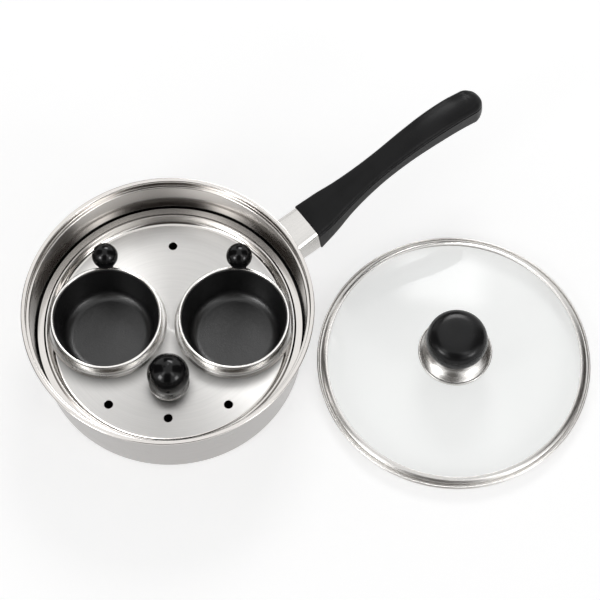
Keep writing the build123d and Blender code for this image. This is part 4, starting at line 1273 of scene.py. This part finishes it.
class POACHER_OT_lid(bpy.types.Operator):
    """Domes the glass, folds the steel rim round it and sets the knob on its flared base"""

    bl_idname = "poacher.lid"
    bl_label = "Glass lid"
    bl_options = {"REGISTER", "UNDO"}

    def execute(self, context):
        lid = context.scene.poacher.lid
        at = (lid.across, lid.back)
        glass = spun("lid_glass_dome", glass_outline(lid), at)
        settled(glass, "lid glass", "lid", "lid_glass", "lid_glass")
        rim = spun("lid_steel_rim", rim_outline(lid), at)
        settled(rim, "brushed steel", "lid", "rim_steel", "lid_rim")
        foot = dome_height(lid, FLARE_SEAT) + mm(0.05)
        top = foot + mm(9.4)
        flare = spun("lid_knob_flare", flare_outline(lid, foot, top), at, turns=160)
        settled(flare, "brushed steel", "lid", "rim_steel", "lid_knob_base")
        stem = lid.glass_edge + lid.glass_thick + lid.rise + mm(1.25)
        knob = spun("lid_black_knob", knob_outline(lid, stem, top), at, turns=160)
        settled(knob, "knob black", "lid", "satin_black", "lid_knob")
        refinished("gasket rubber", "lid_gasket_upper", "lid_gasket_lower")
        refinished("pressed steel", "lid_washer", "lid_screw")
        return {"FINISHED"}


class POACHER_OT_studio(bpy.types.Operator):
    """Sets the pale floor, the soft boxes, the cards, the surroundings and the camera"""

    bl_idname = "poacher.studio"
    bl_label = "Studio"
    bl_options = {"REGISTER", "UNDO"}

    def execute(self, context):
        scene = context.scene
        studio = scene.poacher.studio
        floor_piece(studio, scene.poacher.colours)
        for name, azimuth, elevation, distance, wide, tall, setting, glow in LAMPS:
            brightness = getattr(studio, setting)
            soft_box(name, azimuth, elevation, distance, wide, tall, brightness)
            card(
                f"{name} cloth", azimuth, elevation, distance - 0.02, wide * 1.25, tall * 1.25,
                (glow,) * 3, 0.3)
        for row in CARDS:
            card(*row)
        scene.world = surroundings(studio)
        scene.view_settings.view_transform = "Standard"

        eye = bpy.data.cameras.new("camera")
        eye.sensor_width = 36.0
        eye.lens = studio.lens
        eye.clip_start, eye.clip_end = 0.01, 50.0
        holder = bpy.data.objects.new("camera", eye)
        holder.location = studio.camera
        holder.rotation_euler = (studio.tilt, 0, 0)
        scene.collection.objects.link(holder)
        scene.camera = holder
        return {"FINISHED"}


class POACHER_PT_sidebar(bpy.types.Panel):
    """Lists the settings and the steps that build the egg poacher pan"""

    bl_idname = "POACHER_PT_sidebar"
    bl_label = "Egg poacher pan"
    bl_space_type = "VIEW_3D"
    bl_region_type = "UI"
    bl_category = "Egg poacher"

    def draw(self, context):
        settings = context.scene.poacher
        for step in STEPS:
            self.layout.operator(step.bl_idname)
        for group in PoacherSettings.__annotations__:
            box = self.layout.box()
            box.label(text=group.capitalize())
            chosen = getattr(settings, group)
            for name in chosen.__annotations__:
                box.prop(chosen, name)


STEPS = (
    POACHER_OT_studio, POACHER_OT_pan, POACHER_OT_handle, POACHER_OT_plate, POACHER_OT_cups,
    POACHER_OT_lid,
)
CLASSES = (
    PanSizes, HandleSizes, PlateSizes, CupSizes, LidSizes, Colours, Studio, PoacherSettings,
    *STEPS, POACHER_PT_sidebar,
)


def register():
    for entry in CLASSES:
        bpy.utils.register_class(entry)
    bpy.types.Scene.poacher = PointerProperty(type=PoacherSettings)


def unregister():
    del bpy.types.Scene.poacher
    for entry in reversed(CLASSES):
        bpy.utils.unregister_class(entry)


def main():
    """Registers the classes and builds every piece"""
    register()
    bpy.ops.poacher.studio()
    bpy.ops.poacher.pan()
    bpy.ops.poacher.handle()
    bpy.ops.poacher.plate()
    bpy.ops.poacher.cups()
    bpy.ops.poacher.lid()


if __name__ == "__main__":
    main()
